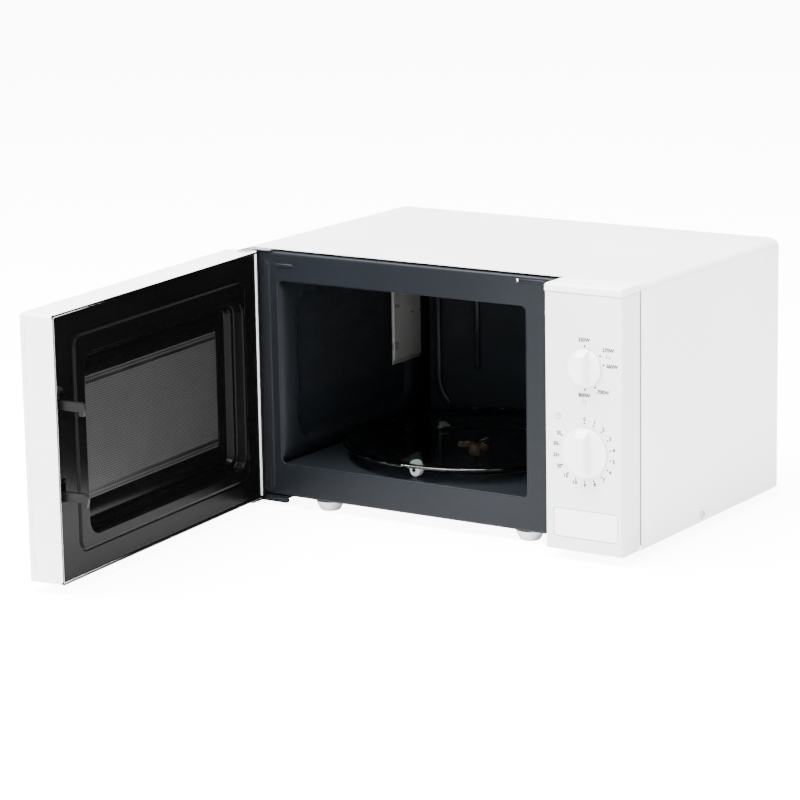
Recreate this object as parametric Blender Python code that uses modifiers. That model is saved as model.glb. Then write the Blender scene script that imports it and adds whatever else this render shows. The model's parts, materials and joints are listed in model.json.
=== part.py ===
"""A countertop microwave oven with two knobs and a side-hinged door, stored with the door open.

Oven space: x from the left side to the right, y from the front plate to the rear, z up from the
underside of the case. The root empty moves oven space so that the origin is under the middle of
the whole oven, on the plane that the feet stand on.
"""
from math import cos, pi, radians, sin

import bmesh
import bpy
from mathutils import Euler, Matrix, Vector

MM = 0.001

# Sheet, clearances
SHEET = 0.8 * MM                # thickness of every pressed sheet
GAP = 0.3 * MM                  # between pieces that touch
RUN = 0.1 * MM                  # running clearance round a small pin
OVERSHOOT = 5 * MM              # how far a cutter passes a face

# Case
CASE_W = 443 * MM
CASE_D = 283 * MM
CASE_H = 250.5 * MM
CASE_SET_BACK = 2 * MM          # the wrapper's front edge, behind the front plate
CASE_BEND = 9 * MM
CASE_REAR_ROLL = 7 * MM
CASE_FLANGE = 9 * MM
EMBOSS_RISE = 1.2 * MM
EMBOSS_SLOPE = 4 * MM
EMBOSS_FRONT = 40 * MM
EMBOSS_REAR = 33 * MM
EMBOSS_LOW = 22 * MM
EMBOSS_TOP = 28 * MM
FOOT_H = 9 * MM
FOOT_R = 14 * MM
FOOT_SET_BACK = 16 * MM
FOOT_X = (85 * MM, 315 * MM)
REAR_FOOT_X = (85 * MM, 400 * MM)

# Front plate and cavity
PLATE_LOW = 2 * MM
PLATE_DROP = 2.9 * MM           # its top, under the wrapper's
PLATE_FLANGE = 12 * MM
OPEN_LEFT = 38.5 * MM
OPEN_W = 282.5 * MM
OPEN_LOW = 35 * MM
OPEN_H = 184 * MM
OPEN_R = 2.5 * MM
CAVITY_LIP = 2 * MM             # how far the cavity is wider than its opening, each side
CAVITY_DEPTH = 276.5 * MM

# Turntable
TRAY_R = 135 * MM
TRAY_WALL = 4 * MM
TRAY_RIM_H = 7.5 * MM
PAN_R = 130 * MM
PAN_DROP = 6 * MM
PAN_SLOPE = 6 * MM
TRACK_R = 96 * MM
ROLLER_R = 6.75 * MM
ROLLER_W = 7 * MM
ROLLER_PIN_R = 1.6 * MM
RING_W = 5.5 * MM
RING_H = 5 * MM
ROLLER_COUNT = 3
ROLLER_FIRST = -97              # degrees

# Door
DOOR_OPEN = 85                  # degrees, as the oven is stored
DOOR_LEFT = 3 * MM
DOOR_W = 358 * MM
DOOR_LOW = 0.3 * MM
DOOR_H = 247.3 * MM
DOOR_T = 34.7 * MM
DOOR_SHUT_GAP = 0.4 * MM
DOOR_WALL = 2.2 * MM
DOOR_PLATE_T = 4.4 * MM
HINGE_X = 9.5 * MM
HINGE_Y = -12.4 * MM
HINGE_PIN_R = 2.4 * MM
HINGE_HOLE_R = 2.5 * MM
CHOKE_STEP = 1.6 * MM           # raised ring of the choke cover
CHOKE_T = 1.6 * MM
CHOKE_RIM = 2.5 * MM            # cover's edge from the door's edge
RING_OUT = 7.5 * MM             # raised ring beyond the oven's opening, at the sides
RING_LOW_OUT = 11 * MM
RING_TOP_OUT = 4 * MM
WELL_DEPTH = 18 * MM
WELL_LEFT = 36 * MM
WELL_W = 277 * MM
WELL_LOW = 36 * MM
WELL_H = 168 * MM
SCREEN_LEFT = 57 * MM
SCREEN_W = 236 * MM
SCREEN_LOW = 61 * MM
SCREEN_H = 116 * MM
WINDOW_MARGIN = 12 * MM         # front window beyond the screen
WINDOW_T = 3 * MM

# Latch
HOOK_X = 352.5 * MM
HOOK_T = 3.6 * MM
HOOK_REACH = 25.5 * MM          # tips, behind the front plate's face when shut
HOOK_LOW = 77.5 * MM
HOOK_PITCH = 83.5 * MM
HOOK_H = 8.5 * MM
HOOK_NOSE = 4 * MM
HOOK_LIFT = 4.5 * MM
SLOT_W = 9.5 * MM
DOOR_SLOT_H = 22.4 * MM
DOOR_SLOT_DROP = 1.5 * MM
PLATE_SLOT_H = 26.5 * MM

# Control panel
PANEL_LEFT = 362 * MM
PANEL_T = 34.2 * MM
PANEL_LOW = 0.5 * MM
PANEL_TOP_RISE = 0.5 * MM
PANEL_WALL = 2 * MM
PANEL_CAP = 7.5 * MM
PANEL_CORNER = 4 * MM
FASCIA_T = 2.2 * MM
FASCIA_SET_BACK = 0.3 * MM
CONTROL_X = 404 * MM
POWER_Z = 175.1 * MM
TIMER_Z = 95.6 * MM
POWER_KNOB_R = 17.5 * MM
TIMER_KNOB_R = 23.3 * MM
KNOB_H = 11.2 * MM
KNOB_SKIRT = 2.2 * MM
KNOB_OFF = 0.6 * MM
SHAFT_R = 3 * MM
BUTTON_W = 67 * MM
BUTTON_H = 26.5 * MM
BUTTON_Z = 26.8 * MM
BUTTON_T = 3 * MM
BUTTON_SLIT = 0.5 * MM
BUTTON_TRAVEL = 4.5 * MM
STEM_Z = 50 * MM
LEVER_Y = 4 * MM
LEVER_Z = 69.5 * MM
LEVER_PIN_R = 1.4 * MM

# Switches
SWITCH_W = 10.3 * MM
SWITCH_D = 15.9 * MM
SWITCH_L = 27.8 * MM
SWITCH_TRAVEL = 1.5 * MM
PLUNGER_OUT = 4.2 * MM

# Works, in oven space
FAN_R = 44 * MM
FAN_X = 383 * MM
FAN_Y = 226 * MM
FAN_Z = 165 * MM
FAN_BLADES = 5
MAGNETRON = ((346 * MM, 112 * MM, 126 * MM), (424 * MM, 190 * MM, 200 * MM))
ANTENNA_R = 9 * MM
ANTENNA_OUT = 12 * MM
PORT = (82 * MM, 142 * MM, 60 * MM, 42 * MM)    # left, low, width and height, from the side
LAMP_Y = 62 * MM
LAMP_Z = 196 * MM
TRANSFORMER = (384 * MM, 180 * MM)
CAPACITOR = (388 * MM, 74 * MM, 84 * MM, 32 * MM, 48 * MM)
FILTER = (344 * MM, 232 * MM, 64 * MM)
INLET = (408 * MM, 34 * MM)
INLET_REACH = 5 * MM

# Worked out from the values above
WRAP_BACK = CASE_SET_BACK + CASE_D
PLATE_TOP = CASE_H - PLATE_DROP
OPEN_RIGHT = OPEN_LEFT + OPEN_W
OPEN_TOP = OPEN_LOW + OPEN_H
CAVITY_LEFT = OPEN_LEFT - CAVITY_LIP
CAVITY_RIGHT = OPEN_RIGHT + CAVITY_LIP
FLOOR_Z = OPEN_LOW - 1.5 * MM
CEILING_Z = OPEN_TOP + 1.5 * MM
CAVITY_FRONT = SHEET + GAP
CAVITY_BACK = SHEET + CAVITY_DEPTH
REAR_PLATE_Y = WRAP_BACK - SHEET - GAP - SHEET
TRAY_X = (OPEN_LEFT + OPEN_RIGHT) / 2
TRAY_Y = CAVITY_BACK - PAN_R - 7 * MM
PAN_Z = FLOOR_Z - PAN_DROP
ROLLER_Z = PAN_Z + GAP + ROLLER_R
TRAY_Z = ROLLER_Z + ROLLER_R + GAP
DOOR_RIGHT = DOOR_LEFT + DOOR_W
DOOR_TOP = DOOR_LOW + DOOR_H
DOOR_IN = -DOOR_SHUT_GAP
DOOR_OUT = DOOR_IN - DOOR_T
DOOR_RIM_OUT = DOOR_OUT + DOOR_PLATE_T + GAP
COVER_Y = DOOR_IN - CHOKE_STEP
STEEL_Y = COVER_Y - CHOKE_T - 2 * GAP
PANEL_RIGHT = CASE_W - GAP
PANEL_TOP = CASE_H + PANEL_TOP_RISE
PANEL_FRONT = -PANEL_T
FASCIA_FRONT = PANEL_FRONT + FASCIA_SET_BACK
FASCIA_BACK = FASCIA_FRONT + FASCIA_T
BASE_Z = PLATE_LOW - GAP - SHEET
HOOK_BOTTOM = HOOK_LOW - HOOK_NOSE
SWITCH_Y = HOOK_REACH + GAP - SWITCH_TRAVEL + PLUNGER_OUT
CONTROL_FACE = FASCIA_BACK + 5 * MM
SIDE_SCREW = (CASE_SET_BACK + 119 * MM, 7 * MM)

PARTS = "microwave_oven"
CUTTERS = "cutters"
SIDES = 48                      # facets of a large round piece
SMALL_SIDES = 20
CORNER_STEPS = 4                # facets of a rounded corner


# ---------------------------------------------------------------- scene and placing

def clear_scene():
    for thing in list(bpy.data.objects):
        bpy.data.objects.remove(thing, do_unlink=True)


def collection(name):
    group = bpy.data.collections.get(name)
    if group is None:
        group = bpy.data.collections.new(name)
        bpy.context.scene.collection.children.link(group)
    return group


def empty(name, location, parent=None, turn=0.0):
    guide = bpy.data.objects.new(name, None)
    guide.location = location
    guide.rotation_euler = (0, 0, turn)
    guide.parent = parent
    collection(PARTS).objects.link(guide)
    return guide


def paint(piece, color, roughness, metallic=0.0, alpha=1.0):
    """Give a piece its own material."""
    material = bpy.data.materials.new(piece.name + "_finish")
    material.use_nodes = True
    shader = material.node_tree.nodes["Principled BSDF"]
    shader.inputs["Base Color"].default_value = (*color, 1.0)
    shader.inputs["Roughness"].default_value = roughness
    shader.inputs["Metallic"].default_value = metallic
    shader.inputs["Alpha"].default_value = alpha
    material.diffuse_color = (*color, alpha)
    piece.data.materials.clear()
    piece.data.materials.append(material)


def white_enamel(piece):
    paint(piece, (0.86, 0.87, 0.88), 0.35)


def dark_enamel(piece):
    paint(piece, (0.055, 0.062, 0.072), 0.38)


def white_plastic(piece):
    paint(piece, (0.84, 0.845, 0.85), 0.42)


def black_plastic(piece):
    paint(piece, (0.02, 0.02, 0.021), 0.25)


def galvanised(piece):
    paint(piece, (0.55, 0.56, 0.57), 0.42, 0.9)


def bright_steel(piece):
    paint(piece, (0.66, 0.66, 0.67), 0.28, 1.0)


def grey_plastic(piece):
    paint(piece, (0.42, 0.43, 0.44), 0.55)


def cream_plastic(piece):
    paint(piece, (0.78, 0.74, 0.64), 0.5)


def copper(piece):
    paint(piece, (0.62, 0.28, 0.15), 0.35, 1.0)


def clear_glass(piece):
    paint(piece, (0.62, 0.72, 0.69), 0.06, alpha=0.35)


def smoked_window(piece):
    paint(piece, (0.03, 0.03, 0.035), 0.08, alpha=0.8)


def mica(piece):
    paint(piece, (0.45, 0.42, 0.36), 0.6)


def add_object(name, mesh, finish, parent, location=(0, 0, 0), rotation=(0, 0, 0)):
    piece = bpy.data.objects.new(name, mesh)
    piece.location = location
    piece.rotation_euler = rotation
    piece.parent = parent
    collection(PARTS).objects.link(piece)
    if finish is not None:
        finish(piece)
    return piece


def as_cutter(piece):
    """Keep a solid as a tool for a cut, out of the model."""
    collection(PARTS).objects.unlink(piece)
    collection(CUTTERS).objects.link(piece)
    piece.hide_render = True
    piece.display_type = 'WIRE'
    return piece


def boolean(piece, tool, operation):
    change = piece.modifiers.new(tool.name, 'BOOLEAN')
    change.operation = operation
    change.object = tool


def cut(piece, tool):
    boolean(piece, as_cutter(tool), 'DIFFERENCE')


def join(piece, tool):
    boolean(piece, as_cutter(tool), 'UNION')


# ---------------------------------------------------------------- shapes

def mesh_from(bm, name):
    bmesh.ops.recalc_face_normals(bm, faces=bm.faces)
    mesh = bpy.data.meshes.new(name)
    bm.to_mesh(mesh)
    bm.free()
    mesh.shade_smooth()
    mesh.set_sharp_from_angle(angle=radians(35))
    return mesh


def cube(size):
    bm = bmesh.new()
    bmesh.ops.create_cube(bm, size=1)
    bmesh.ops.scale(bm, vec=size, verts=bm.verts)
    return bm


def bevel(bm, edges, width, steps):
    bmesh.ops.bevel(bm, geom=edges, offset=width, segments=steps, profile=0.5, affect='EDGES')


def edges_along(bm, axis):
    """Edges that run along one axis."""
    found = []
    for edge in bm.edges:
        run = edge.verts[1].co - edge.verts[0].co
        if abs(run[axis]) > 0.999 * run.length:
            found.append(edge)
    return found


def block(name, low, high, finish, parent, radius=0.0, steps=2, axis=None):
    """A box between two corners, with its edges rounded, or only those along one axis."""
    size = [b - a for a, b in zip(low, high)]
    bm = cube(size)
    if radius:
        bevel(bm, bm.edges[:] if axis is None else edges_along(bm, axis), radius, steps)
    middle = [(a + b) / 2 for a, b in zip(low, high)]
    return add_object(name, mesh_from(bm, name), finish, parent, middle)


def turned(name, profile, finish, parent, location, rotation=(0, 0, 0), sides=SIDES, closed=False):
    """A profile of (radius, height) points, down its outer side, turned about local Z."""
    mesh = bpy.data.meshes.new(name)
    points = [(r, 0, z) for r, z in profile]
    lines = [(i, i + 1) for i in range(len(points) - 1)]
    if closed:
        lines.append((len(points) - 1, 0))
    mesh.from_pydata(points, lines, [])
    piece = add_object(name, mesh, finish, parent, location, rotation)
    screw = piece.modifiers.new("turn", 'SCREW')
    screw.axis = 'Z'
    screw.steps = sides
    screw.render_steps = sides
    screw.use_merge_vertices = True
    screw.merge_threshold = 0.00001
    return piece


def rod(name, radius, low, high, finish, parent, centre, rotation=(0, 0, 0), sides=SMALL_SIDES):
    """A round bar along local Z from low to high, about a centre point."""
    bm = bmesh.new()
    bmesh.ops.create_cone(bm, cap_ends=True, segments=sides, radius1=radius, radius2=radius,
                          depth=high - low)
    bmesh.ops.translate(bm, vec=(0, 0, (low + high) / 2), verts=bm.verts)
    return add_object(name, mesh_from(bm, name), finish, parent, centre, rotation)


ALONG_X = (0, pi / 2, 0)        # turns local Z to +X
TO_FRONT = (pi / 2, 0, 0)       # turns local Z to -Y, and an outline to (x, z)
TO_REAR = (-pi / 2, 0, 0)       # turns local Z to +Y
STAND_X = (pi / 2, 0, pi / 2)   # turns local Z to +X, and an outline to (y, z)


def rounded(left, low, width, height, radius, steps=CORNER_STEPS):
    """The outline of a rectangle with round corners, anticlockwise."""
    points = []
    centres = ((width - radius, radius, -90), (width - radius, height - radius, 0),
               (radius, height - radius, 90), (radius, radius, 180))
    for x, y, start in centres:
        for i in range(steps + 1):
            angle = radians(start + 90 * i / steps)
            points.append((left + x + radius * cos(angle), low + y + radius * sin(angle)))
    return points


def round_hole(x, y, radius, sides=SMALL_SIDES):
    return [(x + radius * cos(2 * pi * i / sides), y + radius * sin(2 * pi * i / sides))
            for i in range(sides)]


def flat(name, loops, thickness, finish, parent, location, rotation=(0, 0, 0)):
    """A flat outline with holes, as a solid that is as thick on both sides of its location."""
    curve = bpy.data.curves.new(name, 'CURVE')
    curve.dimensions = '2D'
    curve.fill_mode = 'BOTH'
    curve.extrude = thickness / 2
    for loop in loops:
        spline = curve.splines.new('POLY')
        spline.points.add(len(loop) - 1)
        for point, (x, y) in zip(spline.points, loop):
            point.co = (x, y, 0, 1)
        spline.use_cyclic_u = True
    drawn = bpy.data.objects.new(name, curve)
    bpy.context.scene.collection.objects.link(drawn)
    bpy.context.view_layer.update()
    graph = bpy.context.evaluated_depsgraph_get()
    mesh = bpy.data.meshes.new_from_object(drawn.evaluated_get(graph))
    bpy.data.objects.remove(drawn, do_unlink=True)
    bm = bmesh.new()
    bm.from_mesh(mesh)
    bmesh.ops.remove_doubles(bm, verts=bm.verts, dist=0.00001)
    return add_object(name, mesh_from(bm, name), finish, parent, location, rotation)


def stepped_sheet(name, sections, thickness, finish, parent, location, rotation=TO_FRONT,
                  open_end=False, side=-1):
    """A pressed sheet through outlines of equal point count, each at its own height, local Z.

    Its wall stands on the side of local +Z or -Z.
    """
    bm = bmesh.new()
    rings = [[bm.verts.new((x, y, height)) for x, y in outline] for outline, height in sections]
    for outer, inner in zip(rings, rings[1:]):
        for i in range(len(outer)):
            j = (i + 1) % len(outer)
            bm.faces.new((outer[i], outer[j], inner[j], inner[i]))
    if not open_end:
        bm.faces.new(rings[-1])
    mesh = bpy.data.meshes.new(name)
    bm.to_mesh(mesh)
    bm.free()
    piece = add_object(name, mesh, finish, parent, location, rotation)
    thick = piece.modifiers.new("sheet", 'SOLIDIFY')
    thick.thickness = thickness
    thick.offset = side
    return piece


def thicken(piece, thickness):
    """Give an open surface its wall, inwards."""
    wall = piece.modifiers.new("wall", 'SOLIDIFY')
    wall.thickness = thickness
    wall.offset = -1
    wall.solidify_mode = 'NON_MANIFOLD'
    wall.nonmanifold_thickness_mode = 'CONSTRAINTS'


def drop_faces(bm, axis, side):
    """Delete the flat end faces of a box that look one way along an axis."""
    gone = [face for face in bm.faces if face.normal[axis] * side > 0.999]
    bmesh.ops.delete(bm, geom=gone, context='FACES')


def slots(name, outlines, thickness, parent, location, rotation):
    """A cutter with one prism for each outline."""
    return flat(name, outlines, thickness, None, parent, location, rotation)


def coil(name, radius, wire, low, high, turns, finish, parent, location, rotation=(0, 0, 0)):
    """A wire wound about local Z."""
    per_turn = 8
    count = turns * per_turn
    curve = bpy.data.curves.new(name, 'CURVE')
    curve.dimensions = '3D'
    curve.bevel_depth = wire
    curve.bevel_resolution = 0
    curve.use_fill_caps = True
    spline = curve.splines.new('POLY')
    spline.points.add(count)
    for i, point in enumerate(spline.points):
        angle = 2 * pi * i / per_turn
        height = low + (high - low) * i / count
        point.co = (radius * cos(angle), radius * sin(angle), height, 1)
    piece = bpy.data.objects.new(name, curve)
    piece.location = location
    piece.rotation_euler = rotation
    piece.parent = parent
    collection(PARTS).objects.link(piece)
    finish(piece)
    return piece


# ---------------------------------------------------------------- case

def side_field(bm, side):
    """Press the raised field into one side of the wrapper."""
    cuts = ((1, CASE_SET_BACK + EMBOSS_FRONT), (1, WRAP_BACK - EMBOSS_REAR),
            (2, EMBOSS_LOW), (2, CASE_H - EMBOSS_TOP))
    for axis, place in cuts:
        normal = Vector((0, 0, 0))
        normal[axis] = 1
        point = normal * place
        faces = [face for face in bm.faces if face.normal.x * side > 0.999]
        geometry = faces + list({e for f in faces for e in f.edges})
        geometry += list({v for f in faces for v in f.verts})
        bmesh.ops.bisect_plane(bm, geom=geometry, plane_co=point, plane_no=normal, dist=0.000001)
    middle = []
    for face in bm.faces:
        centre = face.calc_center_median()
        inside_y = cuts[0][1] < centre.y < cuts[1][1]
        inside_z = cuts[2][1] < centre.z < cuts[3][1]
        if face.normal.x * side > 0.999 and inside_y and inside_z:
            middle.append(face)
    bmesh.ops.inset_region(bm, faces=middle, thickness=EMBOSS_SLOPE, depth=EMBOSS_RISE,
                           use_even_offset=True)


def wrapper(parent):
    """The white top and sides, one bent sheet."""
    spare = 40 * MM
    bm = cube((CASE_W, CASE_D, CASE_H + spare))
    bmesh.ops.translate(bm, vec=(CASE_W / 2, CASE_SET_BACK + CASE_D / 2, (CASE_H - spare) / 2),
                        verts=bm.verts)
    long_bends = [e for e in edges_along(bm, 1) if e.verts[0].co.z > CASE_H / 2]
    bevel(bm, long_bends, CASE_BEND, 5)
    rear = [e for e in bm.edges if min(v.co.y for v in e.verts) > WRAP_BACK - 0.1 * MM]
    rear = [e for e in rear if max(v.co.z for v in e.verts) > 0]
    bevel(bm, rear, CASE_REAR_ROLL, 3)
    bmesh.ops.delete(bm, geom=[f for f in bm.faces if f.normal.y < -0.999], context='FACES')
    geometry = bm.verts[:] + bm.edges[:] + bm.faces[:]
    bmesh.ops.bisect_plane(bm, geom=geometry, plane_co=(0, 0, 0), plane_no=(0, 0, -1),
                           clear_outer=True, dist=0.000001)
    for side in (-1, 1):
        side_field(bm, side)
    mesh = bpy.data.meshes.new("wrapper")
    bm.to_mesh(mesh)
    bm.free()
    piece = add_object("wrapper", mesh, white_enamel, parent)
    thicken(piece, SHEET)
    edge = CASE_REAR_ROLL + CASE_FLANGE
    cut(piece, slots("wrapper_rear_opening",
                     [rounded(edge, -CASE_H / 4, CASE_W - 2 * edge, CASE_H * 5 / 4 - edge, 2 * MM, 2)],
                     2 * OVERSHOOT, parent, (0, WRAP_BACK, 0), TO_FRONT))
    holes = rod("wrapper_screw_holes", 2.3 * MM, -OVERSHOOT, CASE_W + OVERSHOOT, None, parent,
                (0, *SIDE_SCREW), ALONG_X)
    cut(piece, holes)
    for i, (x, z) in enumerate(rear_screws()):
        cut(piece, rod("wrapper_rear_hole_%d" % i, 2.3 * MM, -OVERSHOOT, OVERSHOOT, None, parent,
                       (x, WRAP_BACK, z), TO_FRONT))
    return piece


def rear_screws():
    """Where the screws through the rear flange stand, as (x, z)."""
    inset = CASE_REAR_ROLL + CASE_FLANGE / 2 - 0.6 * MM
    return [(inset, 60 * MM), (inset, CASE_H - 60 * MM),
            (CASE_W - inset, 60 * MM), (CASE_W - inset, CASE_H - 60 * MM),
            (CASE_W / 3, CASE_H - inset), (CASE_W * 2 / 3, CASE_H - inset)]


def front_plate(parent):
    """The dark plate round the oven's mouth, with its edges turned back."""
    left = SHEET + 2 * GAP
    low, high = (left, 0, PLATE_LOW), (CASE_W - left, PLATE_FLANGE, PLATE_TOP)
    bm = cube([b - a for a, b in zip(low, high)])
    bmesh.ops.translate(bm, vec=[(a + b) / 2 for a, b in zip(low, high)], verts=bm.verts)
    top = [e for e in edges_along(bm, 1) if e.verts[0].co.z > CASE_H / 2]
    bevel(bm, top, CASE_BEND - SHEET - 2 * GAP, 4)
    front = [e for e in bm.edges if max(v.co.y for v in e.verts) < 0.1 * MM]
    bevel(bm, front, 2.5 * MM, 3)
    drop_faces(bm, 1, 1)
    piece = add_object("front_plate", mesh_from(bm, "front_plate"), dark_enamel, parent)
    thicken(piece, SHEET)
    mouth = rounded(OPEN_LEFT, OPEN_LOW, OPEN_W, OPEN_H, OPEN_R)
    outlines = [mouth]
    for z in (HOOK_LOW, HOOK_LOW + HOOK_PITCH):
        outlines.append(rounded(HOOK_X - SLOT_W / 2 + 0.75 * MM, z - HOOK_NOSE - 1.5 * MM, SLOT_W,
                                PLATE_SLOT_H, 1 * MM, 2))
    outlines.append(rounded(CONTROL_X - 30 * MM, TIMER_Z - 30 * MM, 62 * MM,
                            POWER_Z - TIMER_Z + 55 * MM, 4 * MM, 3))
    outlines.append(rounded(CONTROL_X - 39.5 * MM, STEM_Z - 5 * MM, 11 * MM, 10 * MM, 1 * MM, 2))
    cut(piece, slots("front_plate_cuts", outlines, 2 * OVERSHOOT, parent, (0, 0, 0), TO_FRONT))
    return piece


def cavity_floor(parent):
    """The oven's floor, with the round track that the roller ring runs in."""
    floor = block("cavity_floor", (CAVITY_LEFT - SHEET, CAVITY_FRONT, FLOOR_Z - SHEET),
                  (CAVITY_RIGHT + SHEET, CAVITY_BACK - GAP, FLOOR_Z), dark_enamel, parent)
    centre = (TRAY_X, TRAY_Y, 0)
    slope = PAN_SLOPE / PAN_DROP
    half = SHEET / 2
    dish = turned("floor_dish", [(0, FLOOR_Z - half), (PAN_R + SHEET - half * slope, FLOOR_Z - half),
                                 (PAN_R + SHEET - PAN_SLOPE - SHEET * slope, PAN_Z - SHEET),
                                 (0, PAN_Z - SHEET)], None, parent, centre)
    join(floor, dish)
    hollow = turned("floor_hollow", [(0, FLOOR_Z + OVERSHOOT),
                                     (PAN_R + OVERSHOOT * slope, FLOOR_Z + OVERSHOOT),
                                     (PAN_R - PAN_SLOPE, PAN_Z), (0, PAN_Z)], None, parent, centre)
    cut(floor, hollow)
    cut(floor, rod("floor_shaft_hole", 6 * MM, PAN_Z - OVERSHOOT, PAN_Z + OVERSHOOT, None, parent,
                   centre))
    return floor


def pressed_wall(name, across, up, field_across, field_up, depth, parent, location, rotation):
    """A rectangular sheet with a field pressed outwards, local -Z of its outline's plane."""
    outer = rounded(across[0], up[0], across[1] - across[0], up[1] - up[0], 0.5 * MM)
    width, height = field_across[1] - field_across[0], field_up[1] - field_up[0]
    edge = rounded(field_across[0], field_up[0], width, height, 24 * MM)
    bottom = rounded(field_across[0] + depth, field_up[0] + depth, width - 2 * depth,
                     height - 2 * depth, 24 * MM - depth)
    sections = [(outer, 0), (edge, 0), (bottom, -depth)]
    return stepped_sheet(name, sections, SHEET, dark_enamel, parent, location, rotation)


def cavity_left_wall(parent):
    across = (CAVITY_FRONT, CAVITY_BACK - GAP)
    up = (FLOOR_Z + GAP, CEILING_Z - GAP)
    field = (across[0] + 33 * MM, across[1] - 36 * MM)
    wall = pressed_wall("cavity_left_wall", across, up, field, (up[0] + 14 * MM, up[1] - 15 * MM),
                        6 * MM, parent, (CAVITY_LEFT, 0, 0), STAND_X)
    outlines = []
    for column in range(3):
        for row in range(5):
            outlines.append(rounded(field[0] + (12 + 46 * column) * MM, (96 + 19 * row) * MM,
                                    38 * MM, 4 * MM, 1.9 * MM, 1))
    cut(wall, slots("left_wall_vents", outlines, 30 * MM, parent, (CAVITY_LEFT, 0, 0), STAND_X))
    return wall


def cavity_right_wall(parent):
    low, high = (CAVITY_FRONT, FLOOR_Z + GAP), (CAVITY_BACK - GAP, CEILING_Z - GAP)
    outer = rounded(low[0], low[1], high[0] - low[0], high[1] - low[1], 0.5 * MM)
    port = rounded(*PORT, 2 * MM, 2)
    lamp = [round_hole(LAMP_Y + 7 * i * MM, LAMP_Z + 7 * j * MM, 2 * MM, 8)
            for i in (-1, 0, 1) for j in (-1, 0, 1)]
    return flat("cavity_right_wall", [outer, port] + lamp, SHEET, dark_enamel, parent,
                (CAVITY_RIGHT + SHEET / 2, 0, 0), STAND_X)


def cavity_ceiling(parent):
    across = (CAVITY_LEFT - SHEET, CAVITY_RIGHT + SHEET)
    up = (CAVITY_FRONT, CAVITY_BACK - GAP)
    field_up = (up[0] + 30 * MM, up[1] - 30 * MM)
    piece = pressed_wall("cavity_ceiling", across, (-up[1], -up[0]),
                         (across[0] + 30 * MM, across[1] - 30 * MM), (-field_up[1], -field_up[0]),
                         4 * MM, parent, (0, 0, CEILING_Z), (pi, 0, 0))
    return piece


def cavity_rear_wall(parent):
    across = (CAVITY_LEFT - SHEET, CAVITY_RIGHT + SHEET)
    up = (FLOOR_Z - SHEET, CEILING_Z + SHEET)
    return pressed_wall("cavity_rear_wall", across, up, (across[0] + 10 * MM, across[1] - 10 * MM),
                        (up[0] + 10 * MM, up[1] - 10 * MM), 1.5 * MM, parent,
                        (0, CAVITY_BACK, 0), TO_FRONT)


def base_plate(parent):
    """The bottom pan, behind the front plate's turned edge."""
    side = SHEET + GAP
    low = (side, PLATE_FLANGE + GAP, BASE_Z)
    high = (CASE_W - side, REAR_PLATE_Y - GAP, BASE_Z + 12 * MM)
    bm = cube([b - a for a, b in zip(low, high)])
    bmesh.ops.translate(bm, vec=[(a + b) / 2 for a, b in zip(low, high)], verts=bm.verts)
    rear = [e for e in edges_along(bm, 2) if e.verts[0].co.y > high[1] - 0.1 * MM]
    bevel(bm, rear, CASE_REAR_ROLL, 3)
    drop_faces(bm, 2, 1)
    drop_faces(bm, 1, -1)
    piece = add_object("base_plate", mesh_from(bm, "base_plate"), galvanised, parent)
    thicken(piece, SHEET)
    outlines = [round_hole(x, y, 3.4 * MM, 12) for x, y in foot_places()]
    for i in range(6):
        outlines.append(rounded((350 + 12 * i) * MM, 96 * MM, 4 * MM, 40 * MM, 1.9 * MM, 1))
    cut(piece, slots("base_holes", outlines, OVERSHOOT, parent, (0, 0, BASE_Z), (0, 0, 0)))
    side_holes = rod("base_screw_holes", 2.1 * MM, -OVERSHOOT, CASE_W + OVERSHOOT, None, parent,
                     (0, *SIDE_SCREW), ALONG_X)
    cut(piece, side_holes)
    return piece


def rear_plate(parent):
    left = CASE_REAR_ROLL
    outlines = [rounded(left, PLATE_LOW, CASE_W - 2 * left, CASE_H - left - PLATE_LOW,
                        CASE_BEND / 2, 3)]
    for x, z in rear_screws():
        outlines.append(round_hole(x, z, 2.1 * MM, 12))
    for row in range(7):
        for column in range(2):
            outlines.append(rounded(FAN_X + (-40 + 42 * column) * MM, FAN_Z + (-36 + 11 * row) * MM,
                                    36 * MM, 5 * MM, 2.2 * MM, 1))
    for row in range(4):
        outlines.append(rounded(60 * MM, (176 + 11 * row) * MM, 44 * MM, 5 * MM, 2.2 * MM, 1))
    outlines.append(round_hole(*INLET, 8.3 * MM, 16))
    return flat("rear_plate", outlines, SHEET, galvanised, parent,
                (0, REAR_PLATE_Y + SHEET / 2, 0), TO_FRONT)


def mains_inlet_bush(parent):
    """The plastic bush that a mains lead passes through."""
    back = REAR_PLATE_Y + SHEET
    profile = [(4 * MM, INLET_REACH), (10 * MM, INLET_REACH), (11 * MM, INLET_REACH - 1 * MM),
               (11 * MM, GAP),
               (8 * MM, GAP), (8 * MM, -SHEET - GAP), (9 * MM, -SHEET - GAP),
               (8 * MM, -6 * MM), (4 * MM, -6 * MM)]
    return turned("mains_inlet_bush", profile, black_plastic, parent, (INLET[0], back, INLET[1]),
                  TO_REAR, 16, closed=True)


def foot_places():
    rear = WRAP_BACK - 20 * MM
    return [(FOOT_X[0], FOOT_SET_BACK), (FOOT_X[1], FOOT_SET_BACK),
            (REAR_FOOT_X[0], rear), (REAR_FOOT_X[1], rear)]


def feet(parent):
    names = ("foot_front_left", "foot_front_right", "foot_rear_left", "foot_rear_right")
    top = BASE_Z - GAP
    profile = [(0, top + 4 * MM), (3 * MM, top + 4 * MM), (3 * MM, top), (FOOT_R, top),
               (FOOT_R, top - 1.5 * MM), (FOOT_R * 0.72, -FOOT_H + 1 * MM),
               (FOOT_R * 0.66, -FOOT_H), (0, -FOOT_H)]
    for name, (x, y) in zip(names, foot_places()):
        turned(name, profile, grey_plastic, parent, (x, y, 0), sides=20)


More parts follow.
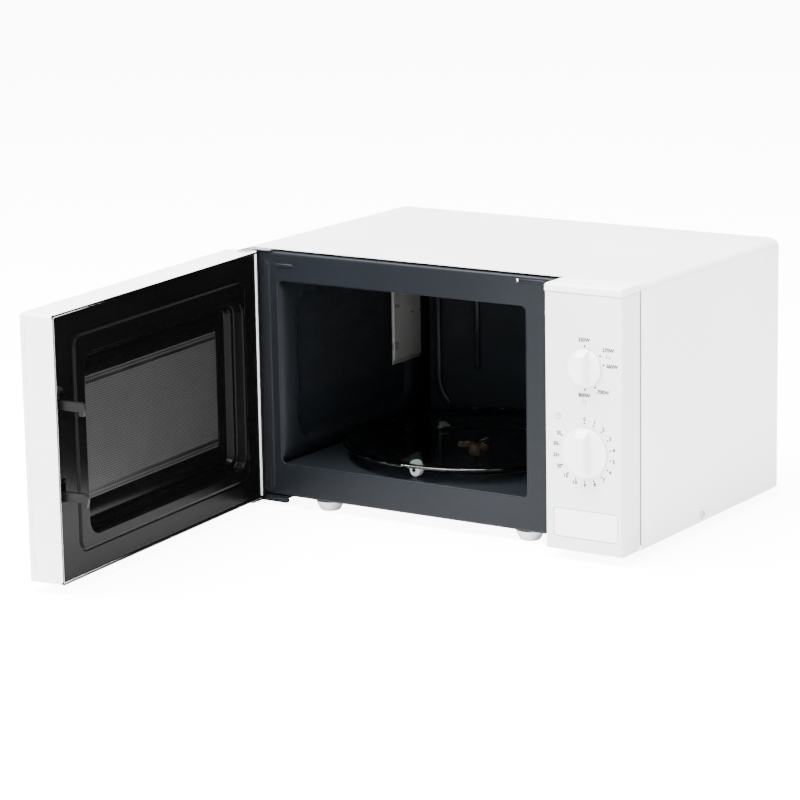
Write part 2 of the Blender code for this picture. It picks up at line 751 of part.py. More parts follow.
def side_screw(parent):
    """The screw through the wrapper's right side, into the base plate's turned edge."""
    head, shank, length = 3.6 * MM, 1.8 * MM, 4.5 * MM
    profile = [(0, 2.2 * MM), (2.4 * MM, 2.2 * MM), (head, 1 * MM), (head, 0), (shank, 0),
               (shank, -length), (0, -length)]
    turned("side_screw", profile, bright_steel, parent, (CASE_W + GAP, *SIDE_SCREW), ALONG_X, 16)


# ---------------------------------------------------------------- turntable

def roller_angles():
    return [radians(ROLLER_FIRST + 360 * i / ROLLER_COUNT) for i in range(ROLLER_COUNT)]


def roller_ring(parent):
    """The ring that carries the rollers, on three stub axles."""
    inner = TRACK_R - ROLLER_W / 2 - 3 * MM - RING_W
    outer = inner + RING_W
    profile = [(outer, RING_H / 2), (outer, -RING_H / 2), (inner, -RING_H / 2), (inner, RING_H / 2)]
    ring = turned("roller_ring", profile, white_plastic, parent, (TRAY_X, TRAY_Y, ROLLER_Z),
                  closed=True)
    for i, angle in enumerate(roller_angles()):
        axle = rod("ring_axle_%d" % i, ROLLER_PIN_R, outer - 2 * MM,
                   TRACK_R + ROLLER_W / 2 + 1.5 * MM, None, parent, (TRAY_X, TRAY_Y, ROLLER_Z),
                   (0, pi / 2, angle), 12)
        join(ring, axle)
    return ring


def rollers(parent):
    bore = ROLLER_PIN_R + 1.5 * RUN
    edge = 1 * MM
    half = ROLLER_W / 2
    profile = [(bore, half), (ROLLER_R - edge, half), (ROLLER_R, half - edge),
               (ROLLER_R, edge - half), (ROLLER_R - edge, -half), (bore, -half)]
    for i, angle in enumerate(roller_angles()):
        place = (TRAY_X + TRACK_R * cos(angle), TRAY_Y + TRACK_R * sin(angle), ROLLER_Z)
        turned("roller_%d" % (i + 1), profile, white_plastic, parent, place,
               (0, pi / 2, angle), 20, closed=True)


def turntable_coupler(parent):
    """The three-armed driver under the glass, on the motor's shaft."""
    arm_top = TRAY_Z - 2 * GAP
    hub_low = PAN_Z + 1 * MM
    profile = [(0, arm_top - 1 * MM), (6 * MM, arm_top - 1 * MM), (9.5 * MM, arm_top - 5 * MM),
               (9.5 * MM, hub_low), (3.5 * MM, hub_low), (3.5 * MM, PAN_Z - 7 * MM),
               (0, PAN_Z - 7 * MM)]
    piece = turned("turntable_coupler", profile, cream_plastic, parent, (TRAY_X, TRAY_Y, 0),
                   sides=24)
    for i in range(3):
        arm = block("coupler_arm_%d" % i, (4 * MM, -3 * MM, arm_top - 5.5 * MM),
                    (20 * MM, 3 * MM, arm_top), None, parent, 1 * MM, 1, axis=1)
        turn = radians(90 + 120 * i)
        reach = 12 * MM
        arm.location = (TRAY_X + reach * cos(turn), TRAY_Y + reach * sin(turn), arm.location.z)
        arm.rotation_euler = (0, 0, turn)
        join(piece, arm)
    return piece


def glass_turntable(parent):
    """The round glass tray, with its raised rim."""
    rim = TRAY_RIM_H
    wall = TRAY_WALL
    profile = [(0, wall), (TRAY_R - 17 * MM, wall), (TRAY_R - 5 * MM, rim - 0.5 * MM),
               (TRAY_R - 2.2 * MM, rim), (TRAY_R, rim - 1.2 * MM), (TRAY_R, rim - 3 * MM),
               (TRAY_R - 4 * MM, rim - 4.2 * MM), (TRAY_R - 16 * MM, 0), (0, 0)]
    return turned("glass_turntable", profile, clear_glass, parent, (TRAY_X, TRAY_Y, TRAY_Z))


def turntable_motor(parent):
    top = PAN_Z - SHEET - 2 * GAP
    low = top - 16 * MM
    bore = 3.7 * MM
    profile = [(bore, top), (24 * MM, top), (24 * MM, low), (0, low), (0, low + 8 * MM),
               (bore, low + 8 * MM)]
    motor = turned("turntable_motor", profile, galvanised, parent, (TRAY_X, TRAY_Y, 0),
                   sides=28, closed=True)
    ears = block("motor_ears", (TRAY_X - 32 * MM, TRAY_Y + 5.5 * MM, top - 1.2 * MM),
                 (TRAY_X + 32 * MM, TRAY_Y + 15 * MM, top - 0.2 * MM), None, parent)
    join(motor, ears)
    return motor


# ---------------------------------------------------------------- door

def door_frame(parent):
    """The white box rim of the door, with blocks for the hinge pins."""
    low, high = (DOOR_LEFT, DOOR_RIM_OUT, DOOR_LOW), (DOOR_RIGHT, DOOR_IN, DOOR_TOP)
    bm = cube([b - a for a, b in zip(low, high)])
    bmesh.ops.translate(bm, vec=[(a + b) / 2 for a, b in zip(low, high)], verts=bm.verts)
    hinge_edge = [e for e in edges_along(bm, 2)
                  if e.verts[0].co.x < DOOR_LEFT + 1 * MM and e.verts[0].co.y > HINGE_Y]
    bevel(bm, hinge_edge, HINGE_X - DOOR_LEFT, 5)
    corner = [e for e in edges_along(bm, 1)
              if e.verts[0].co.x > DOOR_RIGHT - 1 * MM]
    bevel(bm, corner, DOOR_WALL + 1 * MM, 3)
    gone = [f for f in bm.faces if abs(f.normal.y) > 0.999]
    bmesh.ops.delete(bm, geom=gone, context='FACES')
    frame = add_object("door_frame", mesh_from(bm, "door_frame"), white_plastic, parent)
    thicken(frame, DOOR_WALL)
    solid = 11 * MM
    reach = 7 * MM
    blocks = ((DOOR_LOW + DOOR_WALL / 2, DOOR_LOW + solid),
              (DOOR_TOP - solid, DOOR_TOP - DOOR_WALL / 2))
    for i, (bottom, top) in enumerate(blocks):
        join(frame, block("hinge_block_%d" % i, (HINGE_X - 5.4 * MM, HINGE_Y - reach, bottom),
                          (HINGE_X + reach, HINGE_Y + 5.5 * MM, top), None, parent))
    for i, (bottom, top) in enumerate(blocks):
        cut(frame, rod("hinge_bore_%d" % i, HINGE_HOLE_R, bottom - OVERSHOOT, top + OVERSHOOT,
                       None, parent, (HINGE_X, HINGE_Y, 0)))
    return frame


def door_front_plate(parent):
    """The white face of the door, round its window."""
    plate = rounded(DOOR_LEFT, DOOR_LOW, DOOR_W, DOOR_H, 3 * MM)
    piece = flat("door_front_plate", [plate, window_outline(0)], DOOR_PLATE_T, white_plastic,
                 parent, (0, DOOR_OUT + DOOR_PLATE_T / 2, 0), TO_FRONT)
    return piece


def window_outline(inset):
    margin = WINDOW_MARGIN - inset
    return rounded(SCREEN_LEFT - margin, SCREEN_LOW - margin, SCREEN_W + 2 * margin,
                   SCREEN_H + 2 * margin, 10 * MM - inset)


def door_window(parent):
    return flat("door_window", [window_outline(GAP)], WINDOW_T, smoked_window, parent,
                (0, DOOR_OUT + 0.5 * MM + WINDOW_T / 2, 0), TO_FRONT)


def well_outline(grow, radius):
    return rounded(WELL_LEFT - grow, WELL_LOW - grow, WELL_W + 2 * grow, WELL_H + 2 * grow, radius)


def choke_cover(parent):
    """The black cover on the door's inside: a raised ring round a deep well with the screen."""
    left = HINGE_X + 3 * GAP
    edge = rounded(left, DOOR_LOW + CHOKE_RIM, DOOR_RIGHT - CHOKE_RIM - left,
                   DOOR_H - 2 * CHOKE_RIM, 2 * MM)
    ring = (OPEN_LEFT - RING_OUT, OPEN_LOW - RING_LOW_OUT, OPEN_W + 2 * RING_OUT,
            OPEN_H + RING_LOW_OUT + RING_TOP_OUT)
    step = CHOKE_STEP
    ring_foot = rounded(*ring, 10 * MM)
    ring_top = rounded(ring[0] + step, ring[1] + step, ring[2] - 2 * step, ring[3] - 2 * step,
                       10 * MM - step)
    screen = rounded(SCREEN_LEFT, SCREEN_LOW, SCREEN_W, SCREEN_H, 2 * MM)
    sections = [(edge, step), (ring_foot, step), (ring_top, 0), (well_outline(0, 14 * MM), 0),
                (well_outline(-2 * MM, 12 * MM), WELL_DEPTH), (screen, WELL_DEPTH)]
    cover = stepped_sheet("choke_cover", sections, CHOKE_T, black_plastic, parent,
                          (0, DOOR_IN, 0), open_end=True, side=1)
    outlines = []
    for z in (HOOK_LOW, HOOK_LOW + HOOK_PITCH):
        outlines.append(rounded(HOOK_X - SLOT_W / 2 + 0.6 * MM, z - DOOR_SLOT_DROP,
                                SLOT_W - 1.2 * MM, DOOR_SLOT_H, 1 * MM, 2))
    cut(cover, slots("cover_slots", outlines, 12 * MM, parent, (0, COVER_Y, 0), TO_FRONT))
    return cover


def door_steel_frame(parent):
    """The steel panel behind the cover; its floor is the perforated screen."""
    across = (HINGE_X + 9 * MM, HOOK_X - HOOK_T / 2 - 5 * MM)
    up = (DOOR_LOW + 13 * MM, DOOR_TOP - 13 * MM)
    outer = rounded(across[0], up[0], across[1] - across[0], up[1] - up[0], 3 * MM)
    space = CHOKE_T + 2 * GAP
    depth = WELL_DEPTH - CHOKE_STEP + CHOKE_T
    sections = [(outer, 0), (well_outline(space + 1 * MM, 15 * MM), 0),
                (well_outline(space - 1 * MM, 13 * MM), depth - 1.2 * MM)]
    return stepped_sheet("door_steel_frame", sections, SHEET, bright_steel, parent,
                         (0, STEEL_Y, 0), side=1)


def latch_hooks(parent):
    """The sliding bar inside the door's free edge, with its two hooks."""
    back, front = -16 * MM, -7 * MM
    low = HOOK_LOW - 9 * MM
    top = HOOK_LOW + HOOK_PITCH + HOOK_H + 18 * MM
    tip = HOOK_REACH
    root = 6 * MM
    points = [(back, low), (front, low)]
    for z in (HOOK_LOW, HOOK_LOW + HOOK_PITCH):
        points += [(front, z), (tip - root, z), (tip - root, z - HOOK_NOSE),
                   (tip - 1.5 * MM, z - HOOK_NOSE), (tip, z + 2 * MM),
                   (tip, z + HOOK_H - 3 * MM), (tip - 4 * MM, z + HOOK_H), (front, z + HOOK_H)]
    points += [(front, top), (back, top)]
    return flat("latch_hooks", [points], HOOK_T, black_plastic, parent, (HOOK_X, 0, 0), STAND_X)


def latch_spring(parent):
    middle = HOOK_LOW + HOOK_PITCH / 2
    return coil("latch_spring", 2.8 * MM, 0.4 * MM, middle - 22 * MM, middle + 22 * MM, 6,
                bright_steel, parent, (HOOK_X, -20.5 * MM, 0))


def hinge_brackets(parent):
    """The two brackets on the case that carry the door's pins."""
    plate_low = PLATE_TOP + 1.5 * GAP
    plate_high = CASE_H - SHEET - 1.5 * GAP
    tongue = (HINGE_Y - 6.5 * MM, CASE_SET_BACK - 2 * GAP)
    upper = block("upper_hinge_bracket", (HINGE_X - 5.5 * MM, tongue[0], plate_low),
                  (HINGE_X + 6 * MM, tongue[1], plate_high), white_enamel, parent, 2 * MM, 2, 2)
    foot = block("upper_hinge_foot", (CASE_BEND + 1 * MM, -2 * MM, plate_low),
                 (HINGE_X + 23 * MM, PLATE_FLANGE - 0.5 * MM, plate_high), None, parent)
    join(upper, foot)
    join(upper, rod("upper_pin", HINGE_PIN_R, DOOR_TOP - 9 * MM, plate_high - SHEET / 2, None,
                    parent, (HINGE_X, HINGE_Y, 0)))
    under = PLATE_LOW - GAP
    lip = 4.6 * MM
    lower = block("lower_hinge_bracket", (HINGE_X - 5.5 * MM, HINGE_Y - 6.5 * MM, -lip),
                  (HINGE_X + 6 * MM, -0.6 * MM, -lip + 1.5 * MM), dark_enamel, parent, 2 * MM, 2, 2)
    below_door = DOOR_LOW - GAP
    join(lower, block("lower_hinge_lip", (HINGE_X - 4.5 * MM, -1.9 * MM, -lip),
                      (HINGE_X + 36 * MM, 1.6 * MM, below_door), None, parent, 1.5 * MM, 2, axis=1))
    join(lower, block("lower_hinge_foot", (HINGE_X - 3 * MM, 0.5 * MM, below_door - 0.6 * MM),
                      (HINGE_X + 35 * MM, PLATE_FLANGE - 1 * MM, under), None, parent))
    join(lower, rod("lower_pin", HINGE_PIN_R, -lip + 0.6 * MM, DOOR_LOW + 9 * MM, None, parent,
                    (HINGE_X, HINGE_Y, 0)))


# ---------------------------------------------------------------- control panel

def control_panel_housing(parent):
    """The white frame in front of the works; the fascia closes its front."""
    width, height = PANEL_RIGHT - PANEL_LEFT, PANEL_TOP - PANEL_LOW
    wall, radius = PANEL_WALL, PANEL_CORNER
    loops = [rounded(PANEL_LEFT, PANEL_LOW, width, height, radius),
             rounded(PANEL_LEFT + wall, PANEL_LOW + wall, width - 2 * wall, height - 2 * wall,
                     radius - wall)]
    return flat("control_panel_housing", loops, PANEL_T - GAP, white_plastic, parent,
                (0, (PANEL_FRONT - GAP) / 2, 0), TO_FRONT)


def control_fascia(parent):
    """The front of the control panel, with holes for the shafts and the button."""
    side = PANEL_WALL + GAP
    width = PANEL_RIGHT - PANEL_LEFT - 2 * side
    height = PANEL_TOP - PANEL_CAP - GAP - PANEL_LOW - side
    outer = rounded(PANEL_LEFT + side, PANEL_LOW + side, width, height, 2.5 * MM)
    slit = BUTTON_SLIT
    holes = [round_hole(CONTROL_X, POWER_Z, SHAFT_R + 1.2 * MM, 16),
             round_hole(CONTROL_X, TIMER_Z, SHAFT_R + 1.2 * MM, 16),
             rounded(CONTROL_X - BUTTON_W / 2 - slit, BUTTON_Z - BUTTON_H / 2 - slit,
                     BUTTON_W + 2 * slit, BUTTON_H + 2 * slit, 1.5 * MM, 2)]
    return flat("control_fascia", [outer] + holes, FASCIA_T, white_plastic, parent,
                (0, (FASCIA_FRONT + FASCIA_BACK) / 2, 0), TO_FRONT)


def knob(name, radius, grip_width, z, parent):
    """A round skirt with a grip bar across it, on a blind bore for the shaft."""
    profile = [(0, KNOB_SKIRT + 0.8 * MM), (radius * 0.86, KNOB_SKIRT),
               (radius, KNOB_SKIRT - 1.5 * MM), (radius, 0), (0, 0)]
    place = (CONTROL_X, FASCIA_FRONT - KNOB_OFF, z)
    piece = turned(name, profile, white_plastic, parent, place, TO_FRONT, 40)
    grip = block(name + "_grip", (-grip_width / 2, -radius * 0.93, 1 * MM),
                 (grip_width / 2, radius * 0.93, KNOB_H), None, parent, 1.5 * MM, 2, axis=2)
    grip.location = (CONTROL_X, place[1] - (KNOB_H + 1 * MM) / 2, z)
    grip.rotation_euler = TO_FRONT
    join(piece, grip)
    cut(piece, rod(name + "_bore", SHAFT_R + GAP, -OVERSHOOT, KNOB_H - 3.5 * MM, None, parent,
                   place, TO_FRONT))
    return piece


def shaft(name, z, parent):
    end = FASCIA_FRONT - KNOB_OFF - KNOB_H + 4 * MM
    return rod(name, SHAFT_R, CONTROL_FACE + 4 * MM, end, galvanised, parent,
               (CONTROL_X, 0, z), TO_REAR)


def timer_unit(parent):
    """The works behind both knobs: the timer, with the power selector on top of it."""
    body = block("timer_unit", (CONTROL_X - 27 * MM, CONTROL_FACE, TIMER_Z - 26 * MM),
                 (CONTROL_X + 28 * MM, 14 * MM, TIMER_Z + 26 * MM), galvanised, parent, 2 * MM, 1)
    join(body, block("selector_case", (CONTROL_X - 19 * MM, CONTROL_FACE + 1 * MM,
                                       TIMER_Z + 25 * MM),
                     (CONTROL_X + 19 * MM, 4 * MM, POWER_Z + 18 * MM), None, parent, 2 * MM, 1))
    for z in (TIMER_Z, POWER_Z):
        cut(body, rod("timer_bore", SHAFT_R + 2 * RUN, CONTROL_FACE - OVERSHOOT,
                      CONTROL_FACE + 6 * MM, None, parent, (CONTROL_X, 0, z), TO_REAR))
    return body


def release_button(parent):
    """The door button, with the stem that reaches the release lever."""
    face = FASCIA_FRONT
    left, right = CONTROL_X - BUTTON_W / 2, CONTROL_X + BUTTON_W / 2
    stem_x = (CONTROL_X - 38 * MM, CONTROL_X - 30 * MM)
    button = block("release_button", (left, face, BUTTON_Z - BUTTON_H / 2),
                   (right, face + BUTTON_T, BUTTON_Z + BUTTON_H / 2), white_plastic, parent,
                   0.5 * MM, 1)
    back = face + BUTTON_T
    join(button, block("button_web", (stem_x[0], back - 0.8 * MM, BUTTON_Z - 6 * MM),
                       (stem_x[1], back + 2 * MM, STEM_Z + 1.5 * MM), None, parent))
    join(button, block("button_stem", (stem_x[0] + 0.5 * MM, back + 1 * MM, STEM_Z - 1.5 * MM),
                       (stem_x[1] - 0.5 * MM, LEVER_Y - 1.6 * MM - 2 * GAP, STEM_Z + 1.3 * MM),
                       None, parent))
    join(button, rod("button_post", 2 * MM, back - 1 * MM, back + 14 * MM, None, parent,
                     (CONTROL_X, 0, BUTTON_Z), TO_REAR, 12))
    return button


def button_spring(parent):
    start = FASCIA_FRONT + BUTTON_T + 0.5 * MM + GAP
    return coil("button_spring", 4.2 * MM, 0.45 * MM, start, -0.5 * MM - GAP, 6, bright_steel,
                parent, (CONTROL_X, 0, BUTTON_Z), TO_REAR)


def release_lever(parent):
    """The bell crank that turns the button's push into the hooks' lift."""
    boss_r = 2.8 * MM
    left, right = HOOK_X - HOOK_T / 2, CONTROL_X - 31 * MM
    centre = (0, LEVER_Y, LEVER_Z)
    lever = rod("release_lever", boss_r, left, right, cream_plastic, parent, centre, ALONG_X, 16)
    top = HOOK_BOTTOM - 2 * GAP
    join(lever, block("lever_arm", (left, LEVER_Y, LEVER_Z - 2 * MM),
                      (left + HOOK_T, HOOK_REACH - 1 * MM, LEVER_Z + 1.2 * MM), None, parent))
    join(lever, block("lever_finger", (left + 0.1 * MM, HOOK_REACH - 5 * MM, LEVER_Z),
                      (left + HOOK_T - 0.1 * MM, HOOK_REACH - 1.3 * MM, top), None, parent))
    join(lever, block("lever_leg", (right - 7 * MM, LEVER_Y - 1.6 * MM, STEM_Z - 3 * MM),
                      (right - 0.2 * MM, LEVER_Y + 1.6 * MM, LEVER_Z), None, parent))
    cut(lever, rod("lever_bore", LEVER_PIN_R + RUN, left - OVERSHOOT, right + OVERSHOOT, None,
                   parent, centre, ALONG_X, 16))
    return lever


def latch_board(parent):
    """The plastic bracket behind the front plate: it holds the switches and the lever's pin."""
    left = HOOK_X - 9.5 * MM
    board = block("latch_board", (left, CAVITY_FRONT, 58 * MM),
                  (left + 2.5 * MM, SWITCH_Y + SWITCH_D + 3 * MM, 200 * MM), cream_plastic, parent)
    join(board, block("board_back", (left, SWITCH_Y + SWITCH_D + GAP, 60 * MM),
                      (left + 17 * MM, SWITCH_Y + SWITCH_D + 2.8 * MM, 198 * MM), None, parent))
    catch = HOOK_LOW + HOOK_PITCH - HOOK_NOSE - 2 * GAP
    join(board, block("board_catch", (left + 1 * MM, CAVITY_FRONT + 0.5 * MM, catch - 4 * MM),
                      (left + 15 * MM, HOOK_REACH - 8 * MM, catch), None, parent))
    join(board, rod("lever_pin", LEVER_PIN_R, left + 1 * MM, CONTROL_X - 30 * MM, None, parent,
                    (0, LEVER_Y, LEVER_Z), ALONG_X, 16))
    return board


def switch_places():
    """Name, height of the body's middle and height of its plunger."""
    upper = HOOK_LOW + HOOK_PITCH + HOOK_H / 2
    apart = SWITCH_L / 2 + GAP
    return (("primary_switch", upper + apart, upper + 3.4 * MM),
            ("monitor_switch", upper - apart, upper - 3.4 * MM),
            ("secondary_switch", HOOK_LOW + HOOK_H / 2, HOOK_LOW + HOOK_H / 2))


def switches(parent):
    """The three interlock switches, each with its plunger."""
    left = HOOK_X - SWITCH_W / 2
    for name, middle, plunger in switch_places():
        body = block(name, (left, SWITCH_Y, middle - SWITCH_L / 2),
                     (left + SWITCH_W, SWITCH_Y + SWITCH_D, middle + SWITCH_L / 2), black_plastic,
                     parent)
        cut(body, rod(name + "_bore", 1.5 * MM + 2 * RUN, SWITCH_Y - OVERSHOOT, SWITCH_Y + 5 * MM,
                      None, parent, (HOOK_X, 0, plunger), TO_REAR, 12))
        length = PLUNGER_OUT + 2.5 * MM
        start = SWITCH_Y - PLUNGER_OUT
        rod(name.replace("switch", "plunger"), 1.5 * MM, -length / 2, length / 2, cream_plastic,
            parent, (HOOK_X, start + length / 2, plunger), TO_REAR, 12)


# ---------------------------------------------------------------- works

def magnetron(parent):
    """The magnetron: a yoke open to the fan's air, fins round its anode, and its antenna."""
    low, high = MAGNETRON
    wall = 2 * MM
    width, height, depth = (high[0] - low[0], high[2] - low[2], high[1] - low[1])
    outer = rounded(low[0], low[2], width, height, 1 * MM, 1)
    inner = rounded(low[0] + wall, low[2] + wall, width - 2 * wall, height - 2 * wall, 1 * MM, 1)
    yoke = flat("magnetron", [outer, inner], depth, galvanised, parent,
                (0, (low[1] + high[1]) / 2, 0), TO_FRONT)
    fins = 5
    for i in range(fins):
        x = low[0] + width * (i + 1) / (fins + 1)
        join(yoke, block("magnetron_fin_%d" % i, (x, low[1] + 6 * MM, low[2] + wall / 2),
                         (x + 1 * MM, high[1] - 6 * MM, high[2] - wall / 2), None, parent))
    centre = (0, (low[1] + high[1]) / 2, (low[2] + high[2]) / 2)
    join(yoke, rod("magnetron_anode", 19 * MM, low[0] + wall / 2, high[0] - wall / 2, None, parent,
                   centre, ALONG_X))
    join(yoke, rod("magnetron_antenna", ANTENNA_R, low[0] - ANTENNA_OUT, low[0] + wall / 2, None,
                   parent, centre, ALONG_X))
    join(yoke, block("magnetron_filter", (high[0] - wall / 2, low[1] + 14 * MM, low[2] + 14 * MM),
                     (high[0] + 11 * MM, high[1] - 14 * MM, high[2] - 14 * MM), None, parent))
    return yoke


def waveguide(parent):
    """The duct from the antenna to the port in the cavity's wall."""
    low, high = MAGNETRON
    left = CAVITY_RIGHT + SHEET + GAP
    right = low[0] - GAP
    middle_y, middle_z = (low[1] + high[1]) / 2, (low[2] + high[2]) / 2
    corner = (left, PORT[0] - 4 * MM, PORT[1] - 4 * MM)
    far = (right, middle_y + 22 * MM, PORT[1] + PORT[3] + 4 * MM)
    bm = cube([b - a for a, b in zip(corner, far)])
    bmesh.ops.translate(bm, vec=[(a + b) / 2 for a, b in zip(corner, far)], verts=bm.verts)
    drop_faces(bm, 0, -1)
    guide = add_object("waveguide", mesh_from(bm, "waveguide"), galvanised, parent)
    thicken(guide, SHEET)
    cut(guide, rod("waveguide_hole", ANTENNA_R + 2 * MM, right - OVERSHOOT, right + OVERSHOOT, None,
                   parent, (0, middle_y, middle_z), ALONG_X))
    return guide


def waveguide_cover(parent):
    """The mica sheet over the port, inside the cavity."""
    margin = 6 * MM
    outline = rounded(PORT[0] - margin, PORT[1] - margin, PORT[2] + 2 * margin,
                      PORT[3] + 2 * margin, 3 * MM, 2)
    return flat("waveguide_cover", [outline], 0.5 * MM, mica, parent,
                (CAVITY_RIGHT - GAP - 0.25 * MM, 0, 0), STAND_X)


def hv_transformer(parent):
    """The transformer: a laminated core with two windows, and the windings round its limb."""
    x, y = TRANSFORMER
    z = BASE_Z + SHEET + GAP
    width, height, depth = 76 * MM, 64 * MM, 56 * MM
    limb, window_w, window_h = 24 * MM, 14 * MM, 40 * MM
    outer = rounded(x - width / 2, z, width, height, 1 * MM, 1)
    windows = [rounded(x + start, z + (height - window_h) / 2, window_w, window_h, 0.5 * MM, 1)
               for start in (limb / 2, -limb / 2 - window_w)]
    flat("hv_transformer_core", [outer] + windows, depth, bright_steel, parent, (0, y, 0), TO_FRONT)
    inside = (limb / 2 + GAP, depth / 2 + GAP)
    build = window_w - 2 * GAP
    tall = window_h - 2 * GAP
    around = rounded(-inside[0], -inside[1], 2 * inside[0], 2 * inside[1], 0.5 * MM, 2)
    outside = rounded(-inside[0] - build, -inside[1] - build, 2 * (inside[0] + build),
                      2 * (inside[1] + build), 6 * MM, 2)
    flat("hv_transformer_windings", [outside, around], tall, copper, parent,
         (x, y, z + height / 2))


def hv_capacitor(parent):
    x, y, width, depth, height = CAPACITOR
    z = BASE_Z + SHEET + GAP
    can = flat("hv_capacitor", [rounded(x - width / 2, y - depth / 2, width, depth,
                                        depth / 2 - 0.5 * MM)], height, galvanised, parent,
               (0, 0, z + height / 2))
    for i in (-1, 1):
        join(can, block("capacitor_tab_%d" % (i + 1), (x + i * 12 * MM - 3 * MM, y - 0.4 * MM,
                                                       z + height - 1 * MM),
                        (x + i * 12 * MM + 3 * MM, y + 0.4 * MM, z + height + 9 * MM), None, parent))
    return can


def hv_diode(parent):
    """The diode, from the capacitor's side to an earth tab on the base."""
    x, y, width, depth, height = CAPACITOR
    z = BASE_Z + SHEET + GAP
    place = (x - width / 2 + 14 * MM, y + depth / 2 + 10 * MM)
    diode = rod("hv_diode", 3.2 * MM, 12 * MM, 34 * MM, black_plastic, parent, (*place, z))
    join(diode, block("diode_tab", (place[0] - 4 * MM, place[1] - 0.4 * MM, z),
                      (place[0] + 4 * MM, place[1] + 0.4 * MM, z + 13 * MM), None, parent))
    return diode


def noise_filter_board(parent):
    """The mains filter: a board with its choke, capacitor and fuse."""
    x, y, z = FILTER
    board = block("noise_filter_board", (x, y, z), (x + 84 * MM, y + 44 * MM, z + 1.6 * MM),
                  cream_plastic, parent)
    top = z + 1 * MM
    join(board, block("filter_choke", (x + 8 * MM, y + 8 * MM, top),
                      (x + 32 * MM, y + 32 * MM, top + 20 * MM), None, parent, 4 * MM, 2, axis=2))
    join(board, block("filter_capacitor", (x + 38 * MM, y + 10 * MM, top),
                      (x + 64 * MM, y + 20 * MM, top + 16 * MM), None, parent))
    join(board, rod("filter_fuse", 3 * MM, x + 40 * MM, x + 70 * MM, None, parent,
                    (0, y + 32 * MM, top + 2.5 * MM), ALONG_X, 12))
    return board


def fan(parent):
    """The cooling fan: shroud, blade and motor, in line from front to rear."""
    half = FAN_R + 5 * MM
    outer = rounded(FAN_X - half, FAN_Z - half, 2 * half, 2 * half, 4 * MM, 2)
    flat("fan_shroud", [outer, round_hole(FAN_X, FAN_Z, FAN_R + 2 * MM, 36)], 16 * MM,
         cream_plastic, parent, (0, FAN_Y, 0), TO_FRONT)
    hub_r = 9 * MM
    blade = turned("fan_blade", [(0, 7 * MM), (hub_r - 1 * MM, 7 * MM), (hub_r, 6 * MM),
                                 (hub_r, -6 * MM), (0, -6 * MM)], black_plastic, parent,
                   (FAN_X, FAN_Y, FAN_Z), TO_FRONT, 24)
    for i in range(FAN_BLADES):
        turn = 2 * pi * i / FAN_BLADES
        reach = (hub_r + FAN_R) / 2 - 1 * MM
        vane = block("fan_vane_%d" % i, (-(FAN_R - hub_r) / 2 - 1 * MM, -12 * MM, -0.7 * MM),
                     ((FAN_R - hub_r) / 2, 12 * MM, 0.7 * MM), None, parent, 5 * MM, 2, axis=2)
        vane.location = (FAN_X + reach * cos(turn), FAN_Y, FAN_Z + reach * sin(turn))
        spin = Matrix.Rotation(-turn, 4, 'Y') @ Matrix.Rotation(radians(90 - 28), 4, 'X')
        vane.rotation_euler = spin.to_euler()
        join(blade, vane)
    bore = 3 * MM
    cut(blade, rod("fan_blade_bore", bore + RUN, -OVERSHOOT * 2, 2 * MM, None, parent,
                   (FAN_X, FAN_Y, FAN_Z), TO_FRONT, 16))
    start = FAN_Y + 9 * MM
    motor = block("fan_motor", (FAN_X - 24 * MM, start + 2 * MM, FAN_Z - 27 * MM),
                  (FAN_X + 24 * MM, start + 22 * MM, FAN_Z + 27 * MM), galvanised, parent,
                  2 * MM, 1, axis=1)
    join(motor, rod("fan_motor_nose", 7 * MM, start, start + 4 * MM, None, parent,
                    (FAN_X, 0, FAN_Z), TO_REAR))
    join(motor, rod("fan_motor_shaft", bore, FAN_Y, start + 3 * MM, None, parent,
                    (FAN_X, 0, FAN_Z), TO_REAR, 16))
    for i in (-1, 1):
        join(motor, block("fan_strut_%d" % (i + 1), (FAN_X + i * 36 * MM - 14 * MM, start + 2 * MM,
                                                     FAN_Z - 4 * MM),
                          (FAN_X + i * 36 * MM + 14 * MM, start + 3.2 * MM, FAN_Z + 4 * MM),
                          None, parent))


def cavity_lamp(parent):
    """The lamp in its socket, beside the small holes in the cavity's wall."""
    x = CAVITY_RIGHT + SHEET + 3 * MM
    profile = [(0, 28 * MM), (6 * MM, 26 * MM), (9 * MM, 20 * MM), (9 * MM, 14 * MM),
               (6 * MM, 7 * MM), (11 * MM, 7 * MM), (11 * MM, 0), (0, 0)]
    place = (x + 12 * MM, LAMP_Y, LAMP_Z + 20 * MM)
    return turned("cavity_lamp", profile, clear_glass, parent, (place[0], place[1], place[2]),
                  (pi, 0, 0), 20)


# ---------------------------------------------------------------- the whole oven

def rest_shift():
    """Minus the middle of the oven's underside, with the door open as it is stored."""
    turn = -radians(DOOR_OPEN)
    xs = [-EMBOSS_RISE, CASE_W + EMBOSS_RISE]
    ys = [max(WRAP_BACK, REAR_PLATE_Y + SHEET + INLET_REACH)]
    for x in (DOOR_LEFT, DOOR_RIGHT):
        for y in (DOOR_IN, DOOR_OUT):
            dx, dy = x - HINGE_X, y - HINGE_Y
            xs.append(HINGE_X + cos(turn) * dx - sin(turn) * dy)
            ys.append(HINGE_Y + sin(turn) * dx + cos(turn) * dy)
    return (-(min(xs) + max(xs)) / 2, -(min(ys) + max(ys)) / 2, FOOT_H)


def build_case(oven):
    wrapper(oven)
    front_plate(oven)
    cavity_floor(oven)
    cavity_left_wall(oven)
    cavity_right_wall(oven)
    cavity_ceiling(oven)
    cavity_rear_wall(oven)
    base_plate(oven)
    rear_plate(oven)
    mains_inlet_bush(oven)
    feet(oven)
    side_screw(oven)
    hinge_brackets(oven)


def build_turntable(oven):
    turntable_motor(oven)
    turntable_coupler(oven)
    roller_ring(oven)
    rollers(oven)
    glass_turntable(oven)


